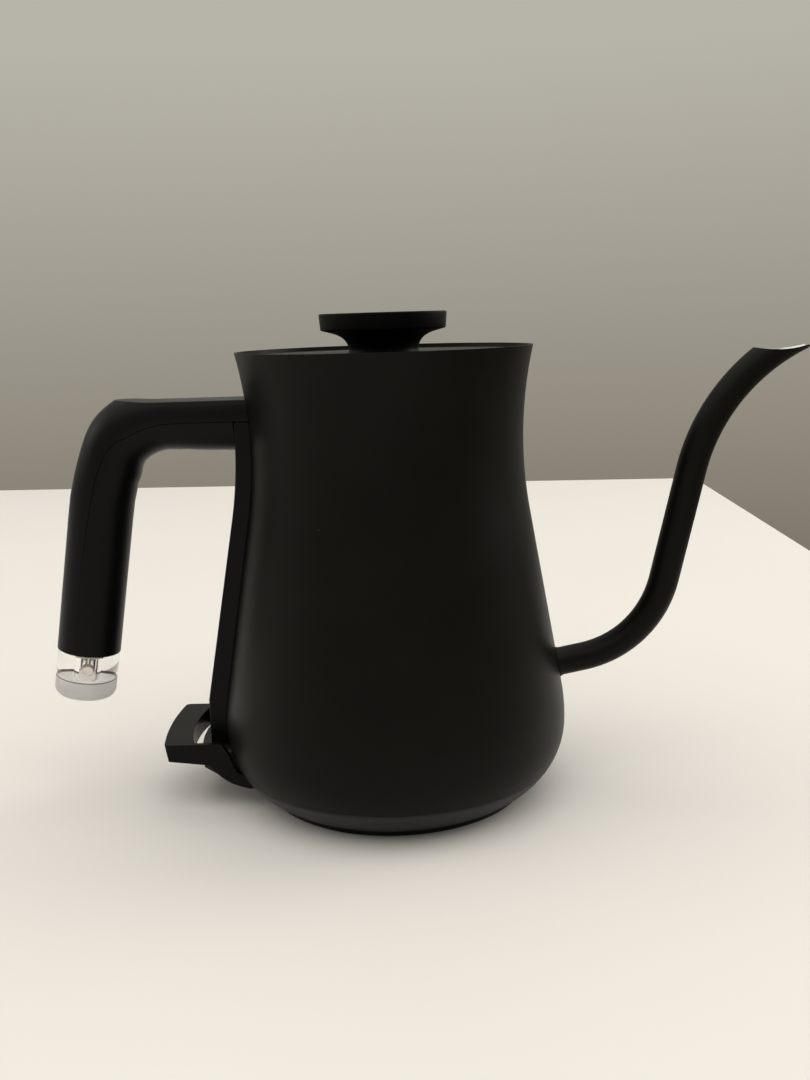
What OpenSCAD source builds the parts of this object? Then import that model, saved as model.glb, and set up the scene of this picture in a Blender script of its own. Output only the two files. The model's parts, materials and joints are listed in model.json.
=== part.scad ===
// Gooseneck kettle: a flared steel body with a bent pouring spout, a bent tube handle with a neon
// lamp at its foot, a lift-off lid and a heated base with a switch lever.
// Millimetres. +X points to the spout and +Z up. The origin is on the body's axis at the foot.

/* [Body] */
// Height of the rim above the foot
rim_z = 158; // [156:0.5:160]
// Height of the narrowest place of the neck
neck_z = 126; // [124:0.5:128]
// Outer radius of the neck at its narrowest
neck_r = 47.5; // [47:0.1:48]
// Radius of the long curve that flares the neck
neck_curve_r = 144; // [140:1:148]
// Lean of the side wall from the upright, in degrees
side_lean = 9.7; // [9.4:0.1:10]
// Height of the widest place of the belly
belly_z = 26.8; // [26:0.1:27.5]
// Radius of the belly curve
belly_curve_r = 61; // [60:0.5:62]
// Radius of the lower corner
corner_curve_r = 27; // [26:0.5:28]
// Height of the seam between the steel body and the base
seam_z = 12.3; // [12:0.1:12.6]
// Thickness of the steel
shell_wall = 0.8; // [0.6:0.1:1]
// Height of the upper face of the vessel's floor
floor_z = 30; // [29.5:0.1:30.5]

/* [Spout] */
// Outer radius of the spout's tube
spout_r = 5.25; // [5:0.05:5.5]
// Thickness of the tube
spout_wall = 0.8; // [0.6:0.1:1]
// Rise of the tube where it leaves the body, in degrees
spout_rise = 11; // [10:0.5:12]
// Direction of the tube's straight middle, in degrees
spout_climb = 77.1; // [76:0.1:78]
// Bend radius of the lower curve
spout_bend = 37; // [36:0.5:38]
// Bend radius of the upper curve
spout_top_bend = 66.7; // [66:0.1:67.5]
// Radius of the scooped cut across the mouth
mouth_cut_r = 57; // [56:0.5:58]

/* [Handle] */
// Outer radius of the handle's tube
tube_r = 11.1; // [11:0.05:11.2]
// Thickness of the handle's shells
tube_wall = 2.2; // [2:0.1:2.3]
// Height of the arm's axis
arm_z = 136.3; // [136:0.1:136.6]
// Height of the flat on top of the arm
arm_flat_z = 142.1; // [141.8:0.1:142.4]
// Bend radius of the elbow
elbow_r = 25; // [24.8:0.1:25.2]
// Lean of the grip from the upright, in degrees
grip_lean = 9.8; // [9.6:0.1:10]
// Height of the grip's lower end
grip_end_z = 54; // [53.5:0.1:54.5]
// Height of the line between the two shells on the arm
parting_z = 134.9; // [134.8:0.1:135]
// Distance of that line from the grip's axis, outward
parting_out = 1.6; // [1.5:0.1:1.7]

/* [Lamp] */
// Outer radius of the clear lens
lens_r = 10.8; // [10.6:0.1:11]
// Length of the lens along the grip
lens_len = 17.3; // [16.8:0.1:17.6]
// Rounding of the lens's lower edge
lens_edge = 3; // [2.5:0.1:3.5]
// Radius of the bore that holds the lamp
lens_bore_r = 4.75; // [4.6:0.05:4.9]
// Depth of that bore
lens_bore_len = 11; // [10.5:0.1:11.5]

/* [Spine] */
// Half width of the black strip down the back
spine_half = 11; // [10.8:0.1:11.2]
// Height of the strip off the body at its top
spine_top_out = 4; // [3.9:0.1:4.1]
// Height of the strip off the body at its foot
spine_foot_out = 5.6; // [5.4:0.1:5.8]
// Height of the strip's foot
spine_foot_z = 20; // [19.8:0.1:20.4]
// Thickness of the strip
spine_wall = 1.6; // [1.5:0.1:1.7]

/* [Base and switch] */
// Thickness of the base cover
cover_wall = 2.2; // [2:0.1:2.4]
// Inner radius of the collar that drops over a power base
collar_r = 22; // [21.8:0.1:22.2]
// Radius from the body's axis to the lever's outer edge
lever_out_r = 82.3; // [82:0.1:82.6]
// Width of the lever's bar, measured outward
lever_bar = 9.7; // [9.5:0.1:9.9]
// Half width of the lever
lever_half = 20.8; // [20.7:0.1:20.9]
// Height of the lever's upper face
lever_top_z = 23.2; // [23:0.1:23.4]
// Thickness of the lever's cheeks
cheek = 1.5; // [1.4:0.1:1.6]

/* [Lid] */
// Depth of the lid's upper face below the rim
lid_drop = 1.4; // [1.2:0.1:1.6]
// Radius of the lid's cover
lid_r = 49.5; // [49.3:0.1:49.6]
// Outer radius of the skirt under the lid
skirt_r = 46.1; // [45.8:0.1:46.2]
// Depth of the skirt below the lid's upper face
skirt_depth = 16.6; // [15:0.2:17]
// Radius of the knob's disc
knob_r = 21.9; // [21.6:0.1:22.2]
// Height of the knob above the lid
knob_h = 13.4; // [13:0.1:14]
// Height of the rim of the knob's disc
knob_disc_h = 5.7; // [5.4:0.1:6]
// Radius of the knob's stem
knob_stem_r = 12; // [11.6:0.1:12.4]

/* [Hidden] */
$fn = 96;

black = "#1c1c1d";
ivory = "#d9d4c6";
coat = "#232120";
steel = "#b9bbbd";
brass = "#c8a650";
clear = "#d8e2e4";
rubber = "#4a4a4a";
copper = "#b4683c";

// Half length and extra radius of the seam between two stretches of a bent tube
seam_half = 0.3;
seam_lap = 0.06;
// A length that passes right through any piece
through = 200;

// Body curves: centres in the plane of the section, as [radius, height]
neck_c = [neck_r + neck_curve_r, neck_z];
cone_top = neck_c - neck_curve_r * [cos(side_lean), sin(side_lean)];
cone_reach = cone_top * [cos(side_lean), sin(side_lean)];
belly_c = [(cone_reach - belly_curve_r - belly_z * sin(side_lean)) / cos(side_lean), belly_z];
corner_drop = 2.2;
corner_c = belly_c + (belly_curve_r - corner_curve_r) * [cos(corner_drop), -sin(corner_drop)];
cone_foot_z = belly_c[1] + belly_curve_r * sin(side_lean);
above_rim = 15;

// Spout path in the plane Y = 0, as [x, z]
spout_in = [57.5, 43.3];
spout_root = [68.9, 45.5];
bend_c = spout_root + spout_bend * [-sin(spout_rise), cos(spout_rise)];
bend_end = bend_c + spout_bend * [sin(spout_climb), -cos(spout_climb)];
climb_len = 40;
climb_end = bend_end + climb_len * [cos(spout_climb), sin(spout_climb)];
top_c = climb_end + spout_top_bend * [sin(spout_climb), -cos(spout_climb)];
tip_turn = 52.3;
mouth_low = [136.3, 153.05];

// Handle path in the plane Y = 0, as [x, z]
elbow_c = [-75.1, arm_z - elbow_r];
grip_top = elbow_c + elbow_r * [-cos(grip_lean), sin(grip_lean)];
grip_len = (grip_top[1] - grip_end_z) / cos(grip_lean);
arm_in_x = -40;
tube_box = 40;
tube_in_r = tube_r - tube_wall;
flat_in_z = arm_flat_z - tube_wall;
below_foot = 10;
parting_arc_r = elbow_r - (arm_z - parting_z) + 5;
parting_c = [elbow_c[0] + 1.2, parting_z - parting_arc_r];
parting_foot = elbow_c + (elbow_r + parting_out) * [-cos(grip_lean), sin(grip_lean)]
    - (grip_len + below_foot) * [sin(grip_lean), cos(grip_lean)];

// Handle screws: up into the arm at these places
bracket_screw_x = -57;
shell_screw_x = -69;
boss_r = 3.5;
screw_r = 1.5;
screw_play = 0.2;
head_r = 2.7;
head_h = 2.4;
head_play = 0.3;
arm_seat_z = arm_z - 6.8;
shell_screw_len = 8;
bracket_half = 6;
bracket_t = 2;
bracket_wall = 1.2;
bracket_foot_x = -62;

// Lamp leads: side by side, inside the bend of the tube
lead_r = 0.7;
lead_y = [tube_in_r - 3.9, tube_in_r - 2.1];
lead_in = tube_in_r - 5.6;
lead_off = 1.3;
lead_floor_z = 5;
lead_slot = [8, 4.8, 3];

// Base compartment, from below up
floor_under_z = 1.5;
floor_top_z = floor_under_z + cover_wall;
foot_in_r = 43.8;
foot_out_r = 46.6;
collar_h = 6;
collar_w = 2;
seal_w = 1.4;
seal_h = 2;
lip_w = 1.2;
lip_h = 3;
notch_gap = 0.45;
plate_z = floor_z - shell_wall;
flange_h = 5;

// Control: a round housing with a stepped socket, on three towers under the spreader
housing_r = 23.2;
housing_top_z = 18;
socket_r = 10;
socket_roof_z = 13;
socket_in_z = 3;
groove_in_r = 11.5;
groove_out_r = 20;
groove_z = 7.5;
window = [12, 5.2, 7.2];
tower_at = 27.2;
tower_r = 3;
arm_w = 3;
arm_h = 9;
column_r = 5;
ear_w = 1.6;
ear_at = 3.4;
ear_len = 14;
ear_h = 8.2;
shelf_z = 14;
shelf_h = 1.5;
shelf_half = 7;
shelf_x = [-45, -20];
disc_x = -38;
disc_r = 6.5;
disc_t = 0.4;
dry_disc_r = 8;
dry_disc_t = 0.5;
contact_bore_r = 2.2;
contact_w = 1;
ring_w = 0.7;
ring_z = [8, 12];
blade_half = 2.5;
blade_t = 0.3;
blade_in_x = -19.5;

// Heater
spreader_r = 37.6;
spreader_h = 3;
spreader_z = plate_z - spreader_h;
element_r = 34;
element_tube = 3.2;
element_drop = 2.9;
element_z = spreader_z - element_drop;
element_gap = 30;
leg_z = 17;
leg_play = 0.2;
terminal_r = 1.2;
terminal_h = 5;
strap_z = 14;
strap_half = 2.5;
strap_t = 0.8;
post_at = 40.5;
post_z = 8;
post_r = 2.5;
post_boss_r = 4.3;
cover_head_z = 4.6;
cover_screw_len = 12;
tap_len = 10;
tower_screw_len = 20.5;
tower_head_r = 2.6;

// Switch: the lever's pivot, the pin it drives and the trip lever's pivot, as [x, z]
lever_pivot = [-48, 9];
drive_pin = [-38, 9];
trip_pivot = [-29, 9];
pivot_r = 1.25;
lever_pin_half = 22;
small_pin_r = 1;
running = 0.06;
lever_in_r = lever_out_r - lever_bar;
lever_hub_r = 3.6;
lever_lead_in = 1.1;
bar_z = 7.5;
bar_h = 3;
bar_t = 2.1;
prong = [6.2, 1.5, 3];
prong_at = 3.75;
trip_half = 2;
trip_hub_r = 3;
trip_pin_half = 4.2;
fork_x = [-42, -34];
fork_z = [7.8, 10.2];
boss_half = 18.6;
boss_out_r = lever_in_r - 2.3;
boss_top_z = spine_foot_z;
boss_wall = 1.5;
duct_half = lead_y[1] + lead_r + 0.5;
duct_x = -63.6;
ear_at_y = 17.4;
ear_t = 2;

// Steam vent under the strip on the back
vent_z = 117;
vent_r = 3;
vent_lip = 1.5;
vent_flange = 1;

// Lid
lid_wall = 0.8;
lid_z = rim_z - lid_drop;
lid_edge = 3;
lid_round = 0.4;
skirt_z = lid_z - skirt_depth;
knob_top_z = lid_z + knob_h;
knob_disc_z = knob_top_z - knob_disc_h;
knob_round = 0.6;
lid_screw_r = 2;
insert_r = 3.5;
insert_h = 8;
washer_r = 7;
washer_t = 0.8;
lid_head_r = 3.6;
lid_head_h = 2.6;
skirt_hole_r = 1.5;
pan_hole_r = 2;
pan_hole_at = 20;

function arc(c, r, a0, a1, n) =
    [for (i = [0:n]) c + r * [cos(a0 + (a1 - a0) * i / n), sin(a0 + (a1 - a0) * i / n)]];

// A curve that leaves a towards b and arrives at c from b
function curve(a, b, c, n) =
    [for (i = [0:n]) let (t = i / n) pow(1 - t, 2) * a + 2 * t * (1 - t) * b + t * t * c];

// The body's side from above the rim to under the foot, moved inward by t
function side(t) = concat(
    arc(neck_c, neck_curve_r + t, 180 - above_rim, 180 + side_lean, 12),
    arc(belly_c, belly_curve_r - t, side_lean, -corner_drop, 3),
    arc(corner_c, corner_curve_r - t, -corner_drop - 6, -90, 10)
);

// The body's outer radius at a height
function side_r(z) =
    z > cone_top[1] ? neck_c[0] - sqrt(pow(neck_curve_r, 2) - pow(z - neck_z, 2))
    : z > cone_foot_z ? cone_top[0] + (cone_top[1] - z) * tan(side_lean)
    : belly_c[0] + sqrt(pow(belly_curve_r, 2) - pow(z - belly_z, 2));

module section(t) {
    pts = side(t);
    polygon(concat([[0, pts[0][1]]], pts, [[0, pts[len(pts) - 1][1]]]));
}

module band(t0, t1, z0, z1) {
    intersection() {
        difference() {
            section(t0);
            section(t1);
        }
        translate([0, z0]) square([through, z1 - z0]);
    }
}

module turned() {
    rotate_extrude() children();
}

// The whole of the inside of side(t) between two heights
module core(t, z0, z1) {
    turned() intersection() {
        section(t);
        translate([0, z0]) square([through, z1 - z0]);
    }
}

module ring(r0, r1, z0, z1) {
    difference() {
        translate([0, 0, z0]) cylinder(r = r1, h = z1 - z0);
        translate([0, 0, z0 - 1]) cylinder(r = r0, h = z1 - z0 + 2);
    }
}

// A shape drawn as [x, z], reaching half to each side of Y = 0
module across(half) {
    rotate([90, 0, 0]) linear_extrude(2 * half, center = true) children();
}

// A round bar between two points of the plane Y = 0
module rod(a, b, r) {
    d = b - a;
    translate([a[0], 0, a[1]]) rotate([0, atan2(d[0], d[1]), 0]) cylinder(r = r, h = norm(d));
}

// A round bar bent about a centre in the plane Y = 0
module bent(c, bend_r, a0, a1, r) {
    translate([c[0], 0, c[1]]) rotate([90, 0, 0]) rotate([0, 0, min(a0, a1)])
        rotate_extrude(angle = abs(a1 - a0)) translate([bend_r, 0]) circle(r);
}

// A tube's stretches meet under a hair of extra radius, square to the direction given in degrees
module sleeve_at(p, direction, r) {
    d = seam_half * [cos(direction), sin(direction)];
    rod(p - d, p + d, r + seam_lap);
}

module pin_along_y(at, r, half) {
    translate([at[0], 0, at[1]]) rotate([90, 0, 0]) cylinder(r = r, h = 2 * half, center = true);
}

module around(places, at) {
    for (a = places) rotate([0, 0, a]) translate([at, 0, 0]) children();
}

// ---- Vessel ----

// start is how far the bar begins before the wall
module spout_solid(r, start) {
    rod(spout_in - start * [cos(spout_rise), sin(spout_rise)], spout_root, r);
    sleeve_at(spout_root, spout_rise, r);
    bent(bend_c, spout_bend, spout_rise - 90, spout_climb - 90, r);
    sleeve_at(bend_end, spout_climb, r);
    rod(bend_end, climb_end, r);
    sleeve_at(climb_end, spout_climb, r);
    bent(top_c, spout_top_bend, spout_climb + 90 - tip_turn, spout_climb + 90, r);
}

module spout_tube() color(coat) difference() {
    spout_solid(spout_r, 0);
    spout_solid(spout_r - spout_wall, 5);
    pin_along_y(mouth_low + [0, mouth_cut_r], mouth_cut_r, 20);
}

module vent_hole(r) {
    translate([0, 0, vent_z]) rotate([0, -90, 0]) cylinder(r = r, h = through);
}

module body_shell() color(coat) difference() {
    turned() band(0, shell_wall, seam_z, rim_z);
    rod(spout_in - [5, 0], spout_in, spout_r);
    rod(spout_in, spout_root, spout_r);
    vent_hole(vent_r);
}

module vessel_floor() color(steel) {
    core(shell_wall, plate_z, floor_z);
    turned() band(shell_wall, 2 * shell_wall, plate_z - flange_h, plate_z);
}

module vent_ring(r, t0, t1) {
    intersection() {
        vent_hole(r);
        turned() band(t0, t1, vent_z - 2 * vent_r, vent_z + 2 * vent_r);
    }
}

module steam_grommet() color(rubber) difference() {
    union() {
        vent_ring(vent_r, -vent_flange / 2, shell_wall + vent_flange / 2);
        vent_ring(vent_r + vent_lip, -vent_flange, 0);
        vent_ring(vent_r + vent_lip, shell_wall, shell_wall + vent_flange);
    }
    vent_hole(vent_r - 1);
}

// ---- Heater and control ----

three = [0, 120, 240];

module heat_spreader() color(steel) difference() {
    translate([0, 0, spreader_z]) cylinder(r = spreader_r, h = spreader_h);
    around(three, tower_at) translate([0, 0, spreader_z - 1]) cylinder(r = screw_r, h = 0.8 * spreader_h + 1);
}

module heating_element() color(copper) {
    ends = [180 - element_gap, 180 + element_gap];
    difference() {
        union() {
            rotate([0, 0, 180 + element_gap]) rotate_extrude(angle = 360 - 2 * element_gap)
                translate([element_r, element_z]) circle(element_tube);
            around(ends, element_r) translate([0, 0, leg_z])
                cylinder(r = element_tube + leg_play, h = spreader_z - leg_z + 1);
            around(ends, element_r) translate([0, 0, leg_z + 0.5 - terminal_h])
                cylinder(r = terminal_r, h = terminal_h);
        }
        // The sheath is pressed flat where it meets the spreader
        translate([0, 0, spreader_z]) cylinder(r = through, h = through);
    }
}

module element_straps() color(brass) around([180 - element_gap, 180 + element_gap], element_r)
    difference() {
        translate([housing_r - element_r, -strap_half, strap_z])
            cube([element_r - housing_r + strap_half, 2 * strap_half, strap_t]);
        translate([0, 0, strap_z - 1]) cylinder(r = terminal_r, h = 3);
    }

module dry_boil_disc() color(copper)
    translate([0, 0, spreader_z - dry_disc_t]) cylinder(r = dry_disc_r, h = dry_disc_t);

module control_housing() color(black) difference() {
    union() {
        translate([0, 0, collar_h]) cylinder(r = housing_r, h = housing_top_z - collar_h);
        around(three, tower_at) translate([0, 0, post_z]) cylinder(r = tower_r, h = spreader_z - post_z);
        around(three, 0) translate([housing_r - 2, -arm_w / 2, post_z])
            cube([tower_at - housing_r + 1, arm_w, arm_h]);
        // Column that holds the dry-boil disc against the spreader
        translate([0, 0, socket_roof_z])
            cylinder(r = column_r, h = spreader_z - dry_disc_t - socket_roof_z);
        // Ears for the trip lever and the shelf for the steam disc
        for (s = [-1, 1]) translate([trip_pivot[0] - 4, s * ear_at - ear_w / 2, collar_h])
            cube([ear_len, ear_w, ear_h]);
        translate([shelf_x[0], -shelf_half, shelf_z])
            cube([shelf_x[1] - shelf_x[0], 2 * shelf_half, shelf_h]);
    }
    translate([0, 0, socket_in_z]) cylinder(r = socket_r, h = socket_roof_z - socket_in_z);
    ring(groove_in_r, groove_out_r, groove_z, through);
    translate([trip_pivot[0] + 3, -window[1] / 2, collar_h - 0.2]) cube(window);
    around(three, tower_at) translate([0, 0, socket_in_z])
        cylinder(r = screw_r + screw_play, h = spreader_z);
    translate([disc_x, 0, shelf_z - 1]) cylinder(r = disc_r - 1, h = shelf_h + 2);
    pin_along_y(trip_pivot, small_pin_r, 10);
}

module centre_contact() color(brass)
    ring(contact_bore_r, contact_bore_r + contact_w, collar_h + 0.5, socket_roof_z);

module ring_contact() color(brass) ring(socket_r - ring_w, socket_r, ring_z[0], ring_z[1]);

module contact_blade() color(brass) intersection() {
    translate([blade_in_x, -blade_half, groove_z])
        cube([-blade_in_x - groove_in_r + 1, 2 * blade_half, blade_t]);
    ring(groove_in_r, groove_out_r, groove_z - 1, groove_z + 1);
}

module control_screws() color(steel) around(three, tower_at) {
    translate([0, 0, post_z - head_h]) cylinder(r = tower_head_r, h = head_h);
    translate([0, 0, post_z]) cylinder(r = screw_r, h = tower_screw_len);
}

module steam_disc() color(copper)
    translate([disc_x, 0, shelf_z + shelf_h]) cylinder(r = disc_r, h = disc_t);

// ---- Switch ----

module trip_lever() color(ivory) difference() {
    across(trip_half) difference() {
        union() {
            translate(trip_pivot) circle(trip_hub_r);
            // Fork round the driving pin, and the arm that opens the contacts
            translate([drive_pin[0] - 2.5, fork_z[0] - 1.5])
                square([trip_pivot[0] - drive_pin[0] + 2.5, fork_z[1] - fork_z[0] + 3]);
            translate(trip_pivot + [0, 0.8]) square([13, 1.8]);
        }
        translate([fork_x[0], fork_z[0]]) square([fork_x[1] - fork_x[0], fork_z[1] - fork_z[0]]);
    }
    pin_along_y(trip_pivot, small_pin_r + running, 5);
}

module trip_pin() color(steel) pin_along_y(trip_pivot, small_pin_r, trip_pin_half);

bar_foot = [7 - lever_in_r, lever_top_z - 7.7];

module lever_side() {
    union() {
        difference() {
            polygon([[-lever_out_r, lever_top_z], [-61, lever_top_z - 0.2], [-58.6, 19.2], [-53, 12],
                [-41.5, 11], [-41.5, 7], [-52, 6.6], [-55, 7.8], [-58, 9.1], [-61.4, 11.1], bar_foot,
                [lever_lead_in - lever_out_r, bar_foot[1] + 2.4]]);
            // Keeps clear of the steel body and of the base's upper edge
            polygon([[-60.5, 26], [-58.9, 18], [-57.2, 14.5], [-54.6, 11.6], [-44, 11.6], [-44, 26]]);
        }
        translate(lever_pivot) circle(lever_hub_r);
    }
}

module switch_lever() color(black) difference() {
    union() {
        // The bar behind the body
        intersection() {
            across(lever_half) lever_side();
            ring(lever_in_r, lever_out_r, 0, floor_z);
        }
        // Two cheeks, from the bar into the base
        intersection() {
            union() {
                across(lever_half) lever_side();
                across(lever_half) translate([-46, 7]) square([4.5, 4]);
            }
            for (s = [-1, 1]) translate([-through, s * (lever_half - cheek / 2) - cheek / 2, 0])
                cube([through, cheek, floor_z]);
            cylinder(r = lever_out_r, h = floor_z);
        }
        // The bar inside the base, with two prongs that hold the driving pin
        translate([-43.6, -lever_half, bar_z]) cube([bar_t, 2 * lever_half, bar_h]);
        for (s = [-1, 1]) translate([-42.5, s * prong_at - prong[1] / 2, bar_z]) cube(prong);
        pin_along_y(drive_pin, small_pin_r, prong_at + 0.25);
    }
    pin_along_y(lever_pivot, pivot_r + running, 30);
}

module lever_pin() color(steel) pin_along_y(lever_pivot, pivot_r, lever_pin_half);

// ---- Base ----

module rear_boss(inset) {
    intersection() {
        across(boss_half - inset) polygon([
            [-50, 6.2 + inset], [-58, 9 + inset], [-64, 12 + inset], [inset - boss_out_r, 16 + inset],
            [inset - boss_out_r, boss_top_z - inset], [-50, boss_top_z - inset]
        ]);
        cylinder(r = boss_out_r - inset, h = through);
    }
}

// The moulded cover without its rear boss, as one profile
module cover_profile() {
    band(0, cover_wall, 1, seam_z);
    // Lip that reaches up inside the body, with the seal outside it
    band(shell_wall + seal_w, cover_wall + seal_w + lip_w, seam_z - lip_h, seam_z + lip_h);
    band(cover_wall - 0.5, cover_wall + seal_w + lip_w, seam_z - lip_h, seam_z);
    translate([collar_r, floor_under_z]) square([foot_out_r - collar_r, cover_wall]);
    translate([collar_r, 0]) square([collar_w, collar_h]);
    translate([foot_in_r, 0]) square([foot_out_r - foot_in_r, floor_top_z]);
}

// Space inside the boss, its way up into the strip on the back and the window into the base
module rear_space() {
    difference() {
        union() {
            rear_boss(boss_wall);
            across(duct_half) translate([duct_x, 14]) square([12, 20]);
        }
        core(0, seam_z, 60);
        core(0, 0, seam_z);
    }
    across(duct_half) polygon([[-57.8, 11.9], [-57.8, 10.4], [-55, 8.8], [-46, 8.8], [-46, 11.9]]);
}

module cheek_notches() {
    for (s = [-1, 1]) translate([-62, s * (lever_half - cheek / 2) - cheek / 2 - notch_gap, 5])
        cube([20, cheek + 2 * notch_gap, 12]);
}

module pin_ears() {
    difference() {
        for (s = [-1, 1]) translate([lever_pivot[0] - 3, s * ear_at_y - ear_t / 2, floor_top_z - 0.5])
            cube([6, ear_t, lever_pivot[1] + 2.8 - floor_top_z]);
        pin_along_y(lever_pivot, pivot_r, 30);
    }
}

module base_cover() color(black) {
    difference() {
        union() {
            turned() cover_profile();
            around(three, post_at) translate([0, 0, floor_under_z])
                cylinder(r = post_boss_r, h = post_z - floor_under_z);
            difference() {
                rear_boss(0);
                core(0, seam_z, 60);
                core(cover_wall / 2, 0, seam_z + 1);
            }
        }
        rear_space();
        cheek_notches();
        pin_along_y(lever_pivot, pivot_r, lever_pin_half + 0.2);
        around(three, post_at) {
            translate([0, 0, -1]) cylinder(r = head_r + screw_play, h = cover_head_z + 1);
            translate([0, 0, -1]) cylinder(r = screw_r + screw_play, h = post_z + 5);
        }
    }
    pin_ears();
}

module base_seal() color(rubber)
    turned() band(shell_wall, shell_wall + seal_w, seam_z, seam_z + seal_h);

module cover_posts() color(steel) around(three, post_at) difference() {
    translate([0, 0, post_z]) cylinder(r = post_r, h = plate_z - post_z);
    translate([0, 0, post_z - 1]) cylinder(r = screw_r, h = tap_len + 1);
}

module base_screws() color(steel) around(three, post_at) {
    translate([0, 0, cover_head_z - head_h]) cylinder(r = head_r, h = head_h);
    translate([0, 0, cover_head_z]) cylinder(r = screw_r, h = cover_screw_len);
}

// ---- Back strip and handle ----

spine_vertical_z = 36;
function spine_out(z) =
    spine_foot_out + (spine_top_out - spine_foot_out) * (z - spine_vertical_z) / (parting_z - spine_vertical_z);
function spine_x(z, t) = t - side_r(max(z, spine_vertical_z)) - spine_out(max(z, spine_vertical_z));
spine_steps = [0:10];

module spine_outline(t, z0, z1) {
    back = [for (i = spine_steps) let (z = z0 + (z1 - z0) * i / 10) [spine_x(z, t), z]];
    polygon(concat(back, [[-30, z1], [-30, z0]]));
}

module spine_cover() color(black) difference() {
    union() {
        across(spine_half) spine_outline(0, spine_vertical_z, parting_z);
        across(spine_half) spine_outline(0, spine_foot_z, spine_vertical_z);
    }
    across(spine_half - spine_wall) spine_outline(spine_wall, spine_vertical_z, parting_z - spine_wall);
    across(spine_half - spine_wall) spine_outline(spine_wall, spine_foot_z - 1, spine_vertical_z);
    core(0, 10, rim_z);
    // Hole that lets the lamp's leads in from the arm
    translate([-56, lead_y[0] - 1.5, parting_z - 3.4]) cube(lead_slot);
}

module tube_solid(r, top) {
    intersection() {
        union() {
            rod([arm_in_x, arm_z], [elbow_c[0], arm_z], r);
            sleeve_at([elbow_c[0], arm_z], 0, r);
            bent(elbow_c, elbow_r, 90, 180 - grip_lean, r);
            sleeve_at(grip_top, 90 - grip_lean, r);
            rod(grip_top, grip_top - (grip_len + below_foot) * [sin(grip_lean), cos(grip_lean)], r);
        }
        translate([-through, -tube_box / 2, 0]) cube([through, tube_box, top]);
        // The grip ends square to its own axis
        on_grip(grip_len) translate([-tube_box / 2, -tube_box / 2, 0]) cube([through, tube_box, through]);
    }
}

// The side of the parting line that faces the body and the table
module inner_side() {
    across(tube_box / 2) union() {
        intersection() {
            translate(parting_c) circle(parting_arc_r);
            translate(parting_c - [tube_box, 0]) square(tube_box);
        }
        polygon([
            [0, parting_z], [parting_c[0], parting_z], parting_c,
            parting_c + parting_arc_r * [-cos(grip_lean), sin(grip_lean)], parting_foot, [0, parting_foot[1]]
        ]);
    }
}

// Local frame on the grip's axis: +Z up along it and +X towards the body
module on_grip(s) {
    translate([grip_top[0] - s * sin(grip_lean), 0, grip_top[1] - s * cos(grip_lean)])
        rotate([0, grip_lean, 0]) children();
}

module screw_bosses() {
    for (x = [bracket_screw_x, shell_screw_x]) translate([x, 0, arm_z - tube_r + 1])
        cylinder(r = boss_r, h = 2 * tube_r);
}

module screw_ways() {
    for (x = [bracket_screw_x, shell_screw_x]) translate([x, 0, arm_seat_z]) {
        translate([0, 0, -tube_r]) cylinder(r = head_r + head_play, h = tube_r);
        translate([0, 0, -tube_r]) cylinder(r = screw_r, h = tube_r + shell_screw_len + 1.5);
    }
}

module handle_solid() {
    difference() {
        tube_solid(tube_r, arm_flat_z);
        tube_solid(tube_in_r, flat_in_z);
    }
    intersection() {
        tube_solid(tube_r - 0.5, arm_flat_z - 0.5);
        screw_bosses();
    }
}

module handle_outer_shell() color(black) difference() {
    handle_solid();
    inner_side();
    core(0, 100, rim_z);
    screw_ways();
    // Room for the bracket
    translate([bracket_foot_x - 2, -bracket_half - 0.5, arm_seat_z])
        cube([30, 2 * bracket_half + 1, flat_in_z - arm_seat_z]);
}

module handle_inner_shell() color(black) difference() {
    intersection() {
        handle_solid();
        inner_side();
    }
    translate([spine_x(parting_z, 0) - 0.05, -tube_box / 2, 0]) cube([through, tube_box, through]);
    screw_ways();
}

module handle_bracket() color(steel) difference() {
    union() {
        intersection() {
            turned() band(-bracket_wall, 0, parting_z, flat_in_z - 0.1);
            translate([bracket_foot_x, -bracket_half - 0.5, 0]) cube([30, 2 * bracket_half + 1, through]);
        }
        difference() {
            translate([bracket_foot_x, -bracket_half, parting_z]) cube([16, 2 * bracket_half, bracket_t]);
            core(0, neck_z - 10, rim_z);
        }
    }
    translate([bracket_screw_x, 0, arm_seat_z]) cylinder(r = screw_r, h = 2 * tube_r);
}

module handle_screws() color(steel) {
    for (x = [bracket_screw_x, shell_screw_x]) translate([x, 0, arm_seat_z]) {
        translate([0, 0, -head_h]) cylinder(r = head_r, h = head_h);
        cylinder(r = screw_r, h = shell_screw_len);
    }
}

// ---- Lamp ----

// How far the holder reaches into the grip and into the lens, and where the lamp and its pins end
holder_in = 7;
plug_in = 2;
lamp_r = 2.6;
lamp_glass = 0.6;
lamp_tip = -8;
pin_tip = -7.5;
pin_at = 1;
pin_r = 0.45;

module lamp_holder() color(ivory) difference() {
    on_grip(grip_len) {
        cylinder(r = tube_in_r - 0.05, h = holder_in);
        translate([0, 0, -plug_in]) cylinder(r = lens_bore_r, h = plug_in + 3);
    }
    lamp_pins();
}

module lamp_lens() color(clear) difference() {
    on_grip(grip_len) rotate_extrude() difference() {
        translate([0, -lens_len]) square([lens_r, lens_len]);
        translate([lens_r - lens_edge, -lens_len]) difference() {
            translate([0, -1]) square([lens_edge + 1, lens_edge + 1]);
            translate([0, lens_edge]) circle(lens_edge);
        }
    }
    on_grip(grip_len) translate([0, 0, -lens_bore_len]) cylinder(r = lens_bore_r, h = 2 * lens_bore_len);
}

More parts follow.
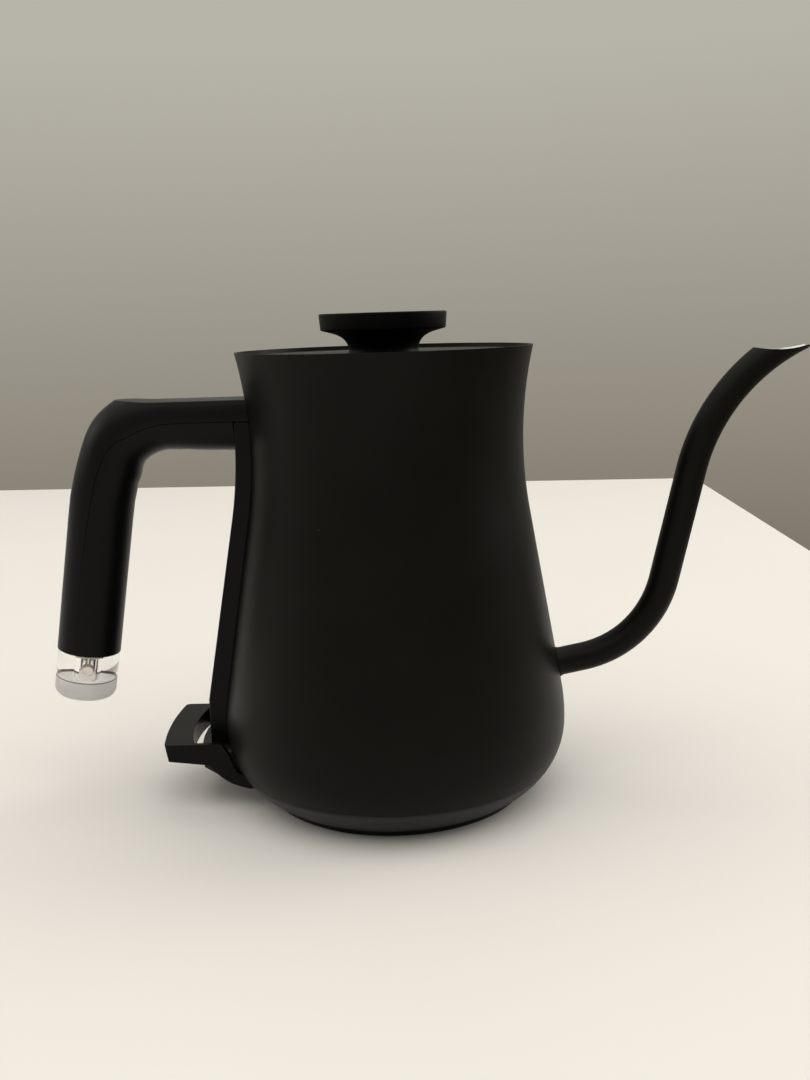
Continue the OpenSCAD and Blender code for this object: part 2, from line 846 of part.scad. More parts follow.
module neon_lamp() color(clear) difference() {
    on_grip(grip_len) rotate_extrude() difference() {
        union() {
            translate([0, lamp_tip]) square([lamp_r, -plug_in - lamp_tip]);
            translate([0, lamp_tip]) intersection() {
                circle(lamp_r);
                // The tip is drawn to a small flat
                translate([0, 0.1 - lamp_r]) square(through);
            }
        }
        translate([0, lamp_tip]) square([lamp_r - lamp_glass, 5]);
    }
    lamp_pins();
}

module lamp_pins() {
    on_grip(grip_len) for (s = [-1, 1]) translate([s * pin_at, 0, pin_tip])
        cylinder(r = pin_r, h = 5 - pin_tip);
}

module lamp_electrodes() color(steel) lamp_pins();

// The lead's way through the grip, the elbow and the arm, down the back and into the base, as [x, z]
lead_side = [cos(grip_lean), -sin(grip_lean)];
lead_way = concat(
    [grip_top + lead_in * lead_side - (grip_len - 7) * [sin(grip_lean), cos(grip_lean)]],
    arc(elbow_c, elbow_r - lead_in, 180 - grip_lean, 90, 8),
    [for (z = [arm_z - lead_in:-9:38]) [-side_r(z) - lead_off, z]],
    [[-62.7, 24], [-61.9, 15], [-60.6, 13.1], [-57.3, 11.2], [-53, 9.9], [-50.5, 8.2], [-48.4, 6.4],
        [-46, lead_floor_z], [-40, lead_floor_z], [-housing_r - 0.1, 7]]
);

// A round bar with facets along a way in a plane of constant Y
module bar_along(way, r, sides) {
    last = len(way) - 1;
    ahead = [for (i = [0:last]) way[min(i + 1, last)] - way[max(i - 1, 0)]];
    rings = [for (i = [0:last]) let (t = ahead[i] / norm(ahead[i])) for (k = [0:sides - 1])
        let (a = 360 * k / sides, m = r * cos(a)) [way[i][0] - t[1] * m, r * sin(a), way[i][1] + t[0] * m]];
    walls = [for (i = [0:last - 1]) for (k = [0:sides - 1]) let (n = (k + 1) % sides)
        [i * sides + k, i * sides + n, (i + 1) * sides + n, (i + 1) * sides + k]];
    ends = [[for (k = [sides - 1:-1:0]) k], [for (k = [0:sides - 1]) last * sides + k]];
    polyhedron(rings, concat(walls, ends));
}

module lamp_leads() color("#e6e2d8") for (y = lead_y) translate([0, y, 0]) bar_along(lead_way, lead_r, 8);

// ---- Lid ----

module lid_cover() color(coat) difference() {
    turned() difference() {
        polygon(concat(
            [[0, lid_z - lid_edge], [0, lid_z]],
            arc([lid_r - lid_round, lid_z - lid_round], lid_round, 90, 0, 4),
            [[lid_r - 0.45, lid_z - lid_edge]]
        ));
        polygon([[-1, lid_z - lid_wall], [lid_r - lid_wall, lid_z - lid_wall],
            [lid_r - lid_wall - 0.4, lid_z - lid_edge - 1], [-1, lid_z - lid_edge - 1]]);
    }
    translate([0, 0, skirt_z]) cylinder(r = lid_screw_r, h = through);
}

module lid_skirt() color(steel) difference() {
    ring(skirt_r - lid_wall, skirt_r, skirt_z, lid_z - lid_wall);
    for (a = [0:45:315]) rotate([0, 0, a]) translate([0, 0, skirt_z + skirt_depth * 0.6])
        rotate([0, 90, 0]) cylinder(r = skirt_hole_r, h = through);
}

module lid_pan() color(steel) difference() {
    translate([0, 0, skirt_z]) cylinder(r = skirt_r - lid_wall, h = lid_wall);
    for (a = [0:60:300]) rotate([0, 0, a]) translate([pan_hole_at, 0, skirt_z - 1])
        cylinder(r = pan_hole_r, h = lid_wall + 2);
}

// The knob's stem sweeps out in a hollow curve to the underside of its disc
knob_curve_top = [knob_r - 4.3, knob_disc_z - 0.95];

module knob() color(black) turned() difference() {
    polygon(concat(
        [[0, lid_z], [knob_stem_r, lid_z]],
        curve([knob_stem_r, lid_z + 1.4], [knob_stem_r + 0.6, knob_disc_z - 2.3], knob_curve_top, 8),
        [[knob_r - 0.8, knob_disc_z], [knob_r - 0.3, knob_disc_z + 0.5]],
        arc([knob_r - knob_round, knob_top_z - knob_round], knob_round, 0, 90, 4),
        [[0, knob_top_z]]
    ));
    translate([0, lid_z - 1]) square([insert_r, insert_h + 1]);
}

module knob_insert() color(brass) ring(lid_screw_r, insert_r, lid_z, lid_z + insert_h);

module knob_washer() color(steel)
    ring(lid_screw_r, washer_r, lid_z - lid_wall - washer_t, lid_z - lid_wall);

module knob_screw() color(steel) translate([0, 0, lid_z - lid_wall - washer_t]) {
    translate([0, 0, -lid_head_h]) cylinder(r = lid_head_r, h = lid_head_h);
    cylinder(r = lid_screw_r, h = insert_h + 1);
}

body_shell();
vessel_floor();
spout_tube();
heat_spreader();
heating_element();
dry_boil_disc();
control_housing();
centre_contact();
ring_contact();
contact_blade();
element_straps();
control_screws();
steam_disc();
trip_lever();
trip_pin();
cover_posts();
base_seal();
base_cover();
base_screws();
switch_lever();
lever_pin();
spine_cover();
steam_grommet();
handle_bracket();
handle_inner_shell();
handle_outer_shell();
handle_screws();
lamp_holder();
lamp_lens();
neon_lamp();
lamp_electrodes();
lamp_leads();
lid_cover();
lid_skirt();
lid_pan();
knob();
knob_insert();
knob_screw();
knob_washer();
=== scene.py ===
import json
import math

import bmesh
import bpy
from mathutils import Matrix, Vector

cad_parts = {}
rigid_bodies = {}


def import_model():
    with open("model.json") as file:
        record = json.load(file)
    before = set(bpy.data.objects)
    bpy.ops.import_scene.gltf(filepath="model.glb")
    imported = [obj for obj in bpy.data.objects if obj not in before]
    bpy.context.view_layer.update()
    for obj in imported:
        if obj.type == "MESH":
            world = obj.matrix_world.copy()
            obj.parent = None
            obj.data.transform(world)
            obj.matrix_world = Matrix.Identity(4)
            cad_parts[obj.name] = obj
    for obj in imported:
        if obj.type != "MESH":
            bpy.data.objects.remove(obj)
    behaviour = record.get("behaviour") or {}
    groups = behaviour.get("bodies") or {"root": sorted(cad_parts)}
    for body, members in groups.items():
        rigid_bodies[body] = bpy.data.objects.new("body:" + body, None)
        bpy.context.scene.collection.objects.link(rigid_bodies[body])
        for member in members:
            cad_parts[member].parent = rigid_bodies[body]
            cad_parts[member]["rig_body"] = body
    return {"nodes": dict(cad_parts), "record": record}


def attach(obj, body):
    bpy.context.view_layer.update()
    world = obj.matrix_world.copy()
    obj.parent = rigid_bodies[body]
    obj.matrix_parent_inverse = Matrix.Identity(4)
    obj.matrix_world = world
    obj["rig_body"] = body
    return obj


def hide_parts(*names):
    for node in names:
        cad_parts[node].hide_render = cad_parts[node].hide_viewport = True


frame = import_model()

# Gooseneck kettle. Lengths in the dictionaries are millimetres, angles are degrees.
# +X points to the spout, +Z up, and the body's axis is the Z axis.

mm = 0.001
scene = bpy.context.scene
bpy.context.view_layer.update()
slotOfNode = {part["node"]: part["material_slot"] for part in frame["record"]["subparts"]}
bodyOfNode = {name: node["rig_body"] for name, node in frame["nodes"].items()}
print("frame loaded:", len(slotOfNode), "nodes")


# Camera

cameraSize = {"place": (5.66, -381.4, 167.9), "pitch": 78.51, "roll": -1.73, "yaw": 0.05, "lens": 36.4}


def makeCamera():
    data = bpy.data.cameras.new("camera")
    data.lens = cameraSize["lens"]
    data.sensor_width = 36
    data.clip_start = 0.01
    camera = bpy.data.objects.new("camera", data)
    scene.collection.objects.link(camera)
    place = Matrix.Translation(Vector(cameraSize["place"]) * mm)
    yaw, pitch, roll = (Matrix.Rotation(math.radians(cameraSize[name]), 4, axis)
                        for name, axis in (("yaw", "Z"), ("pitch", "X"), ("roll", "Z")))
    camera.matrix_world = place @ yaw @ pitch @ roll
    scene.camera = camera


makeCamera()
print("camera made")


# Shader groups

def plug(tree, socket, value):
    # value is an output of another node, a plain colour or a number
    if isinstance(value, bpy.types.NodeSocket):
        tree.links.new(value, socket)
    elif isinstance(value, tuple):
        socket.default_value = (*value, 1)
    else:
        socket.default_value = value


def fill(tree, node, values):
    # each value is a setting of the node, or goes into the input of that name
    for name, value in values.items():
        if hasattr(node, name):
            setattr(node, name, value)
        else:
            plug(tree, node.inputs[name.replace("_", " ")], value)
    return node


def addNode(tree, kind, **values):
    return fill(tree, tree.nodes.new(kind), values)


def addMath(tree, operation, *values):
    node = addNode(tree, "ShaderNodeMath", operation=operation)
    for socket, value in zip(node.inputs, values):
        plug(tree, socket, value)
    return node.outputs[0]


def newGroup(name, inputs, outputs):
    # inputs holds each label with its value; every socket is a number
    group = bpy.data.node_groups.new(name, "ShaderNodeTree")
    for label, value in inputs.items():
        socket = group.interface.new_socket(label, in_out="INPUT", socket_type="NodeSocketFloat")
        socket.default_value = value
    for label in outputs:
        group.interface.new_socket(label, in_out="OUTPUT", socket_type="NodeSocketFloat")
    given = group.nodes.new("NodeGroupInput").outputs
    place = addNode(group, "ShaderNodeTexCoord").outputs["Object"]
    return group, given, place


def addScale(group, size):
    # the scale of a texture from the size of its cells in millimetres
    return addMath(group, "DIVIDE", 1 / mm, size)


def makeGrainGroup():
    # fine moulded or sprayed texture: two sizes of grain as one height, and a slow mottle
    group, given, place = newGroup("grain", {"Grain Size": 0.4, "Mottle Size": 18.0}, ("Height", "Mottle"))
    fineScale = addScale(group, given["Grain Size"])
    fine = addNode(group, "ShaderNodeTexNoise", Vector=place, Scale=fineScale, Detail=3.0, Roughness=0.6)
    cells = addNode(group, "ShaderNodeTexVoronoi", feature="SMOOTH_F1", Vector=place, Scale=fineScale)
    slow = addNode(group, "ShaderNodeTexNoise", Vector=place, Scale=addScale(group, given["Mottle Size"]),
                   Detail=4.0, Roughness=0.55)
    # the cells add half of their distance to the fine noise
    height = addMath(group, "MULTIPLY_ADD", cells.outputs["Distance"], 0.5, fine.outputs[0])
    addNode(group, "NodeGroupOutput", Height=height, Mottle=slow.outputs[0])
    return group


def makeDustGroup():
    # scattered tiny specks: a cell holds a speck only where its random value is low enough
    group, given, place = newGroup("dust", {"Spacing": 6.0, "Speck Size": 0.12, "Share": 0.25}, ("Mask",))
    cells = addNode(group, "ShaderNodeTexVoronoi", feature="F1", Vector=place,
                    Scale=addScale(group, given["Spacing"]))
    split = addNode(group, "ShaderNodeSeparateColor", Color=cells.outputs["Color"])
    reach = addMath(group, "DIVIDE", given["Speck Size"], given["Spacing"])
    near = addMath(group, "LESS_THAN", cells.outputs["Distance"], reach)
    chosen = addMath(group, "LESS_THAN", split.outputs[0], given["Share"])
    addNode(group, "NodeGroupOutput", Mask=addMath(group, "MULTIPLY", near, chosen))
    return group


def makeBrushGroup():
    # lines left by turning: bands of noise that depend on the distance from the axis and the height
    group, given, place = newGroup("turnedLines", {"Line Size": 0.15}, ("Height",))
    split = addNode(group, "ShaderNodeSeparateXYZ", Vector=place).outputs
    level = addNode(group, "ShaderNodeCombineXYZ", X=split["X"], Y=split["Y"])
    reach = addNode(group, "ShaderNodeVectorMath", operation="LENGTH", Vector=level.outputs[0])
    spot = addNode(group, "ShaderNodeCombineXYZ", X=reach.outputs["Value"], Y=split["Z"])
    noise = addNode(group, "ShaderNodeTexNoise", Vector=spot.outputs[0],
                    Scale=addScale(group, given["Line Size"]), Detail=2.0)
    addNode(group, "NodeGroupOutput", Height=noise.outputs[0])
    return group


grainGroup = makeGrainGroup()
dustGroup = makeDustGroup()
brushGroup = makeBrushGroup()
print("shader groups made")


# Materials

def newMaterial(name):
    material = bpy.data.materials.new(name)
    material.use_nodes = True
    return material, material.node_tree


def fillShader(tree, **values):
    fill(tree, tree.nodes["Principled BSDF"], values)


def addGroup(tree, group, **values):
    return addNode(tree, "ShaderNodeGroup", node_tree=group, **values).outputs


def addBump(tree, height, depth):
    # depth is how far the height's whole range stands out, in millimetres
    bump = addNode(tree, "ShaderNodeBump", Strength=1.0, Distance=depth * mm, Height=height)
    return bump.outputs["Normal"]


def addRange(tree, value, low, high, start=0.3, end=0.7):
    ramp = addNode(tree, "ShaderNodeMapRange", Value=value, From_Min=start, From_Max=end,
                   To_Min=low, To_Max=high)
    return ramp.outputs[0]


def addBlend(tree, share, first, second):
    # first and second are outputs of other nodes or plain colours
    blend = addNode(tree, "ShaderNodeMix", data_type="RGBA", Factor=share, A=first, B=second)
    return blend.outputs["Result"]


dustTone = (0.17, 0.165, 0.155)


def grainyPlastic(name, tone, paleTone, roughness, grain, depth, specks=0.12, gloss=0.5):
    material, tree = newMaterial(name)
    texture = addGroup(tree, grainGroup, Grain_Size=grain, Mottle_Size=22.0)
    dust = addGroup(tree, dustGroup, Spacing=5.5, Speck_Size=0.1, Share=specks)
    body = addBlend(tree, addRange(tree, texture["Mottle"], 0, 1, 0.35, 0.65), tone, paleTone)
    fillShader(tree, Base_Color=addBlend(tree, dust["Mask"], body, dustTone), Specular_IOR_Level=gloss,
               Roughness=addRange(tree, texture["Mottle"], roughness - 0.035, roughness + 0.035),
               Normal=addBump(tree, texture["Height"], depth))
    return material


def turnedMetal(name, tone, darkTone, roughness, line, depth):
    material, tree = newMaterial(name)
    lines = addGroup(tree, brushGroup, Line_Size=line)
    stain = addGroup(tree, grainGroup, Grain_Size=0.5, Mottle_Size=14.0)
    share = addRange(tree, stain["Mottle"], 0, 1, 0.4, 0.75)
    fillShader(tree, Base_Color=addBlend(tree, share, tone, darkTone), Metallic=1.0,
               Roughness=addRange(tree, lines["Height"], roughness - 0.06, roughness + 0.08),
               Normal=addBump(tree, lines["Height"], depth))
    return material


def dullMetal(name, tone, darkTone, roughness):
    material, tree = newMaterial(name)
    texture = addGroup(tree, grainGroup, Grain_Size=0.35, Mottle_Size=5.0)
    share = addRange(tree, texture["Mottle"], 0, 1, 0.35, 0.7)
    fillShader(tree, Base_Color=addBlend(tree, share, tone, darkTone), Metallic=1.0,
               Roughness=addRange(tree, texture["Mottle"], roughness - 0.08, roughness + 0.1),
               Normal=addBump(tree, texture["Height"], 0.008))
    return material


def clearPlastic(name, tone, ior, roughness, waves, through=1.0):
    material, tree = newMaterial(name)
    mottle = addGroup(tree, grainGroup, Grain_Size=waves, Mottle_Size=3.0)["Mottle"]
    fillShader(tree, Base_Color=tone, IOR=ior, Transmission_Weight=through,
               Roughness=addRange(tree, mottle, roughness, roughness + 0.03),
               Normal=addBump(tree, mottle, 0.01))
    return material


finishes = {
    "coat": grainyPlastic("coat", (0.0026, 0.0024, 0.0015), (0.0034, 0.0031, 0.0021), 0.42, 0.22, 0.010,
                          gloss=0.11),
    "black": grainyPlastic("black", (0.0028, 0.0027, 0.0031), (0.0035, 0.0034, 0.0039), 0.37, 0.16, 0.008,
                           gloss=0.11),
    "knob": grainyPlastic("knob", (0.0020, 0.0018, 0.0018), (0.0026, 0.0024, 0.0024), 0.42, 0.16, 0.008,
                          gloss=0.06),
    "cover": grainyPlastic("cover", (0.0090, 0.0090, 0.0092), (0.0105, 0.0105, 0.0108), 0.45, 0.2, 0.010,
                           gloss=0.30),
    "housing": grainyPlastic("housing", (0.030, 0.030, 0.032), (0.036, 0.036, 0.038), 0.55, 0.3, 0.02),
    "ivory": grainyPlastic("ivory", (0.62, 0.58, 0.48), (0.68, 0.64, 0.54), 0.4, 0.3, 0.01,
                           specks=0.05),
    "rubber": grainyPlastic("rubber", (0.06, 0.06, 0.06), (0.08, 0.08, 0.08), 0.62, 0.25, 0.02),
    "wire": grainyPlastic("wire", (0.60, 0.57, 0.48), (0.70, 0.67, 0.58), 0.75, 0.25, 0.05),
    "steel": turnedMetal("steel", (0.58, 0.575, 0.56), (0.46, 0.45, 0.43), 0.30, 0.12, 0.006),
    "alu": turnedMetal("alu", (0.66, 0.66, 0.65), (0.55, 0.55, 0.54), 0.38, 0.3, 0.008),
    "plated": dullMetal("plated", (0.55, 0.55, 0.54), (0.42, 0.42, 0.42), 0.32),
    "copper": dullMetal("copper", (0.52, 0.28, 0.17), (0.30, 0.15, 0.09), 0.42),
    "brass": dullMetal("brass", (0.66, 0.50, 0.22), (0.50, 0.36, 0.15), 0.34),
    "clear": clearPlastic("clear", (0.99, 0.985, 0.98), 1.49, 0.0, 2.0),
    "frost": clearPlastic("frost", (0.97, 0.96, 0.955), 1.49, 0.5, 2.0, through=0.7),
    # groove: a grey tone painted on the lens's groove band as its shadow line, a painted shade
    "groove": grainyPlastic("groove", (0.18, 0.175, 0.17), (0.21, 0.205, 0.20), 0.5, 0.3, 0.01,
                            specks=0.0),
    "bulb": clearPlastic("bulb", (0.98, 0.955, 0.92), 1.5, 0.0, 1.0),
    "pins": dullMetal("pins", (0.20, 0.16, 0.12), (0.13, 0.10, 0.08), 0.45),
}
for node, slot in slotOfNode.items():
    shape = frame["nodes"][node]
    if not shape.material_slots:
        shape.data.materials.append(finishes[slot])
    for place in shape.material_slots:
        place.material = finishes[slot]
print("materials made and given to the nodes")


# Shaping helpers

def arcPoints(centre, radius, start, end, count):
    angles = [math.radians(start + (end - start) * i / count) for i in range(count + 1)]
    return [(centre[0] + radius * math.cos(a), centre[1] + radius * math.sin(a)) for a in angles]


def curvePoints(start, pull, end, count):
    shares = [i / count for i in range(count + 1)]
    return [tuple((1 - s) ** 2 * a + 2 * s * (1 - s) * b + s * s * c for a, b, c in zip(start, pull, end))
            for s in shares]


def spun(outline, steps, ring=True):
    # outline holds [distance from the axis, height]; ring joins its last point to its first
    bm = bmesh.new()
    verts = [bm.verts.new((r * mm, 0, z * mm)) for r, z in outline]
    edges = [bm.edges.new(pair) for pair in zip(verts, verts[1:])]
    if ring:
        edges.append(bm.edges.new((verts[-1], verts[0])))
    bmesh.ops.spin(bm, geom=verts + edges, cent=(0, 0, 0), axis=(0, 0, 1), angle=2 * math.pi,
                   steps=steps, use_merge=True)
    bmesh.ops.remove_doubles(bm, verts=bm.verts, dist=1e-7)
    bmesh.ops.recalc_face_normals(bm, faces=bm.faces)
    return bm


def extruded(outline, low, high, axis="Y"):
    # outline holds [x, z] of a solid that reaches along Y, or [x, y] of one that reaches along Z
    def place(a, b, level):
        return (a * mm, level * mm, b * mm) if axis == "Y" else (a * mm, b * mm, level * mm)

    bm = bmesh.new()
    face = bm.faces.new([bm.verts.new(place(a, b, low)) for a, b in outline])
    grown = bmesh.ops.extrude_face_region(bm, geom=[face])
    moved = [v for v in grown["geom"] if isinstance(v, bmesh.types.BMVert)]
    bmesh.ops.translate(bm, verts=moved, vec=place(0, 0, high - low))
    bmesh.ops.recalc_face_normals(bm, faces=bm.faces)
    return bm


def cylinder(start, end, radius, segments=48, endRadius=None):
    # a closed bar between two points given in millimetres
    bm = bmesh.new()
    a, b = Vector(start) * mm, Vector(end) * mm
    span = b - a
    bmesh.ops.create_cone(bm, cap_ends=True, segments=segments, radius1=radius * mm,
                          radius2=(endRadius or radius) * mm, depth=span.length)
    turn = span.to_track_quat("Z", "Y").to_matrix().to_4x4()
    bmesh.ops.transform(bm, matrix=Matrix.Translation((a + b) / 2) @ turn, verts=bm.verts)
    return bm


def pullEdges(bm, edges, shift):
    # draws a row of edges out by a shift in millimetres, and returns the new row
    grown = bmesh.ops.extrude_edge_only(bm, edges=edges)["geom"]
    moved = [v for v in grown if isinstance(v, bmesh.types.BMVert)]
    bmesh.ops.translate(bm, verts=moved, vec=shift * mm)
    return [e for e in grown if isinstance(e, bmesh.types.BMEdge)]


def turnEdges(bm, edges, centre, angle, steps):
    # turns a row of edges about a line along Y, and returns the last row
    grown = bmesh.ops.spin(bm, geom=edges, cent=centre * mm, axis=(0, -1, 0),
                           angle=math.radians(angle), steps=steps)["geom_last"]
    return [e for e in grown if isinstance(e, bmesh.types.BMEdge)]


def addShape(bm, other):
    # puts another shape, which is used up, into the same mesh
    mesh = bpy.data.meshes.new("shape")
    other.to_mesh(mesh)
    other.free()
    bm.from_mesh(mesh)
    bpy.data.meshes.remove(mesh)


def newObject(name, bm):
    mesh = bpy.data.meshes.new(name)
    bm.to_mesh(mesh)
    bm.free()
    thing = bpy.data.objects.new(name, mesh)
    scene.collection.objects.link(thing)
    return thing


def applyModifiers(thing):
    graph = bpy.context.evaluated_depsgraph_get()
    graph.update()
    mesh = bpy.data.meshes.new_from_object(thing.evaluated_get(graph))
    old = thing.data
    thing.modifiers.clear()
    thing.data = mesh
    bpy.data.meshes.remove(old)


def thicken(thing, wall):
    # gives an open sheet its wall, inward
    step = thing.modifiers.new("wall", "SOLIDIFY")
    step.thickness = wall * mm
    step.offset = -1
    step.use_even_offset = True
    applyModifiers(thing)


def carve(thing, operation, *shapes):
    # joins, cuts or trims thing with closed shapes, which are used up
    for bm in shapes:
        tool = newObject("tool", bm)
        step = thing.modifiers.new("carve", "BOOLEAN")
        step.operation = operation
        step.solver = "EXACT"
        step.object = tool
        applyModifiers(thing)
        bpy.data.objects.remove(tool)
    bm = bmesh.new()
    bm.from_mesh(thing.data)
    bmesh.ops.remove_doubles(bm, verts=bm.verts, dist=2e-6)
    bmesh.ops.dissolve_degenerate(bm, edges=bm.edges, dist=2e-6)
    bm.to_mesh(thing.data)
    bm.free()


def dress(thing, *nodes, finish=None, soften=None, segments=3, limit=30, smooth=30):
    # the nodes are the ones it stands for; the first gives its body and finish
    slot, body = slotOfNode[nodes[0]], bodyOfNode[nodes[0]]
    if not thing.data.materials:
        thing.data.materials.append(finishes[finish or slot])
    thing.data.shade_smooth()
    if soften:
        bevel = thing.modifiers.new("soften", "BEVEL")
        bevel.width = soften * mm
        bevel.segments = segments
        bevel.limit_method = "ANGLE"
        bevel.angle_limit = math.radians(limit)
        bevel.harden_normals = True
        bevel.miter_outer = "MITER_ARC"
    else:
        thing.data.set_sharp_from_angle(angle=math.radians(smooth))
    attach(thing, body)
    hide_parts(*nodes)


# Body

bodySize = {"rim": 158, "neckHeight": 126, "neckRadius": 47.5, "neckCurve": 144, "lean": 9.7,
            "bellyHeight": 26.8, "bellyCurve": 61, "cornerCurve": 27, "cornerDrop": 2.2,
            "seam": 12.3, "seamGap": 0.12, "wall": 0.8, "steps": 192, "bareDepth": 0.5, "coatedRim": 2,
            "soften": 0.33, "ventHeight": 117, "ventRadius": 3, "ventX": (-40, -55)}

coneLean = math.radians(bodySize["lean"])
cornerDrop = math.radians(bodySize["cornerDrop"])
neckCentre = (bodySize["neckRadius"] + bodySize["neckCurve"], bodySize["neckHeight"])
coneTop = (neckCentre[0] - bodySize["neckCurve"] * math.cos(coneLean),
           neckCentre[1] - bodySize["neckCurve"] * math.sin(coneLean))
coneReach = coneTop[0] * math.cos(coneLean) + coneTop[1] * math.sin(coneLean)
bellyReach = coneReach - bodySize["bellyCurve"] - bodySize["bellyHeight"] * math.sin(coneLean)
bellyCentre = (bellyReach / math.cos(coneLean), bodySize["bellyHeight"])
cornerInset = bodySize["bellyCurve"] - bodySize["cornerCurve"]
cornerCentre = (bellyCentre[0] + cornerInset * math.cos(cornerDrop),
                bellyCentre[1] - cornerInset * math.sin(cornerDrop))
coneFoot = bellyCentre[1] + bodySize["bellyCurve"] * math.sin(coneLean)


def bodyRadius(z):
    # outer radius of the body at a height
    if z > coneTop[1]:
        return neckCentre[0] - math.sqrt(bodySize["neckCurve"] ** 2 - (z - neckCentre[1]) ** 2)
    if z > coneFoot:
        return coneTop[0] + (coneTop[1] - z) * math.tan(coneLean)
    cornerTop = cornerCentre[1] - bodySize["cornerCurve"] * math.sin(cornerDrop)
    if z > cornerTop:
        return bellyCentre[0] + math.sqrt(bodySize["bellyCurve"] ** 2 - (z - bellyCentre[1]) ** 2)
    return cornerCentre[0] + math.sqrt(bodySize["cornerCurve"] ** 2 - (z - cornerCentre[1]) ** 2)


def cornerAngle(z, inward):
    return math.degrees(math.asin((z - cornerCentre[1]) / (bodySize["cornerCurve"] - inward)))


def bodySide(inward, low, high):
    # points of the body's side from the bottom up, moved inward
    neckCurve = bodySize["neckCurve"] + inward
    top = math.degrees(math.asin((high - neckCentre[1]) / neckCurve))
    foot = arcPoints(cornerCentre, bodySize["cornerCurve"] - inward,
                     cornerAngle(low, inward), -bodySize["cornerDrop"], 12)
    belly = arcPoints(bellyCentre, bodySize["bellyCurve"] - inward,
                      -bodySize["cornerDrop"], bodySize["lean"], 6)
    neck = arcPoints(neckCentre, neckCurve, 180 + bodySize["lean"], 180 - top, 16)
    wall = [tuple(a + (b - a) * i / 14 for a, b in zip(belly[-1], neck[0])) for i in range(1, 14)]
    return foot + belly[1:] + wall + neck


def bodyX(y, z):
    # x of the back of the body at a place, for what is fitted to it
    return -math.sqrt(bodyRadius(z) ** 2 - y * y)


def makeBody():
    wall, rim = bodySize["wall"], bodySize["rim"]
    foot = bodySize["seam"] + bodySize["seamGap"]
    profile = bodySide(0, foot, rim) + bodySide(wall, foot, rim)[::-1]
    thing = newObject("bodyShell", spun(profile, bodySize["steps"]))
    holeX, bore = spoutSize["holeX"], spoutSize["radius"] - spoutSize["wall"]
    holeZ = spoutStart[1] - (spoutStart[0] - holeX) * math.tan(math.radians(spoutSize["rise"]))
    ventStart, ventEnd = (flat((x, bodySize["ventHeight"])) for x in bodySize["ventX"])
    carve(thing, "DIFFERENCE", cylinder(flat((holeX, holeZ)), flat(spoutRoot), bore),
          cylinder(ventStart, ventEnd, bodySize["ventRadius"]))

    def pick(spot):
        depth = bodyRadius(spot.z) - math.hypot(spot.x, spot.y)
        return int(depth > bodySize["bareDepth"] and spot.z < rim - bodySize["coatedRim"])

    # the inner faces are bare steel
    paintFaces(thing, ("coat", "steel"), pick)
    dress(thing, "body_shell", soften=bodySize["soften"], limit=50)


# Spout

spoutSize = {"radius": 5.25, "wall": 0.8, "rise": 11, "climb": 77.1, "bend": 37, "straight": 40.25,
             "topBend": 66.7, "topTurn": 55.5, "mouthCurve": 41, "tip": 145.95, "holeX": 48,
             "segments": 48, "lowSteps": 34, "climbSteps": 6, "topSteps": 40,
             "weld": 0.5, "weldShare": 0.35, "weldOff": 1.3, "weldLift": 0.2,
             "narrow": 0.45, "narrowTurn": 18, "narrowPast": 3, "coatDepth": 0.62, "soften": 0.16}
spoutStart = (57.5, 43.3)
spoutRoot = (68.9, 45.5)
mouthLow = (135.3, 153.7)


def smoothShare(value, start, end):
    share = min(1, max(0, (value - start) / (end - start)))
    return share * share * (3 - 2 * share)


def along(angle):
    return Vector((math.cos(math.radians(angle)), 0, math.sin(math.radians(angle))))


def flat(point):
    return Vector((point[0], 0, point[1]))


def spoutPath():
    # the axis: the end of the root, the lower bend's centre and end, and the upper bend's start and centre
    size = spoutSize
    root = flat(spoutRoot)
    lowCentre = root + size["bend"] * along(size["rise"] + 90)
    bendEnd = lowCentre + size["bend"] * along(size["climb"] - 90)
    climbEnd = bendEnd + size["straight"] * along(size["climb"])
    topCentre = climbEnd + size["topBend"] * along(size["climb"] - 90)
    return root, lowCentre, bendEnd, climbEnd, topCentre


def spoutTube(radius, foot):
    # an open tube from the body to the mouth; foot is the flare of its first ring
    size = spoutSize
    start = flat(spoutStart)
    root, lowCentre, bendEnd, climbEnd, topCentre = spoutPath()
    bm = bmesh.new()
    ring = bmesh.ops.create_circle(bm, cap_ends=False, segments=size["segments"], radius=radius * mm)
    square = Matrix.Rotation(math.radians(90 - size["rise"]), 4, "Y")
    bmesh.ops.transform(bm, matrix=Matrix.Translation(start * mm) @ square, verts=ring["verts"])
    first = list(ring["verts"])
    edges = pullEdges(bm, bm.edges[:], (root - start) * size["weldShare"])
    second = [v for e in edges for v in e.verts]
    edges = pullEdges(bm, edges, (root - start) * (1 - size["weldShare"]))
    edges = turnEdges(bm, edges, lowCentre, size["climb"] - size["rise"], size["lowSteps"])
    for step in range(size["climbSteps"]):
        edges = pullEdges(bm, edges, (climbEnd - bendEnd) / size["climbSteps"])
    turnEdges(bm, edges, topCentre, -size["topTurn"], size["topSteps"])
    narrowRoot(bm, radius, start, lowCentre, bendEnd)

    # the first ring lies on the body, and the second just off it, so that the weld makes a small fillet
    axis = along(size["rise"])
    for verts, off, spread in ((set(first), 0.0, foot), (set(second), size["weldOff"], 0.0)):
        for v in verts:
            side = v.co / mm - start
            side -= axis * side.dot(axis)
            side *= (radius + spread) / radius
            x = bodyRadius(spoutStart[1] + side.z + size["weldLift"])
            onBody = math.sqrt(x * x - side.y ** 2) + off
            lift = (onBody - start.x - side.x) / axis.x
            v.co = (start + side + axis * lift) * mm
    scoop(bm, topCentre, radius)
    return bm


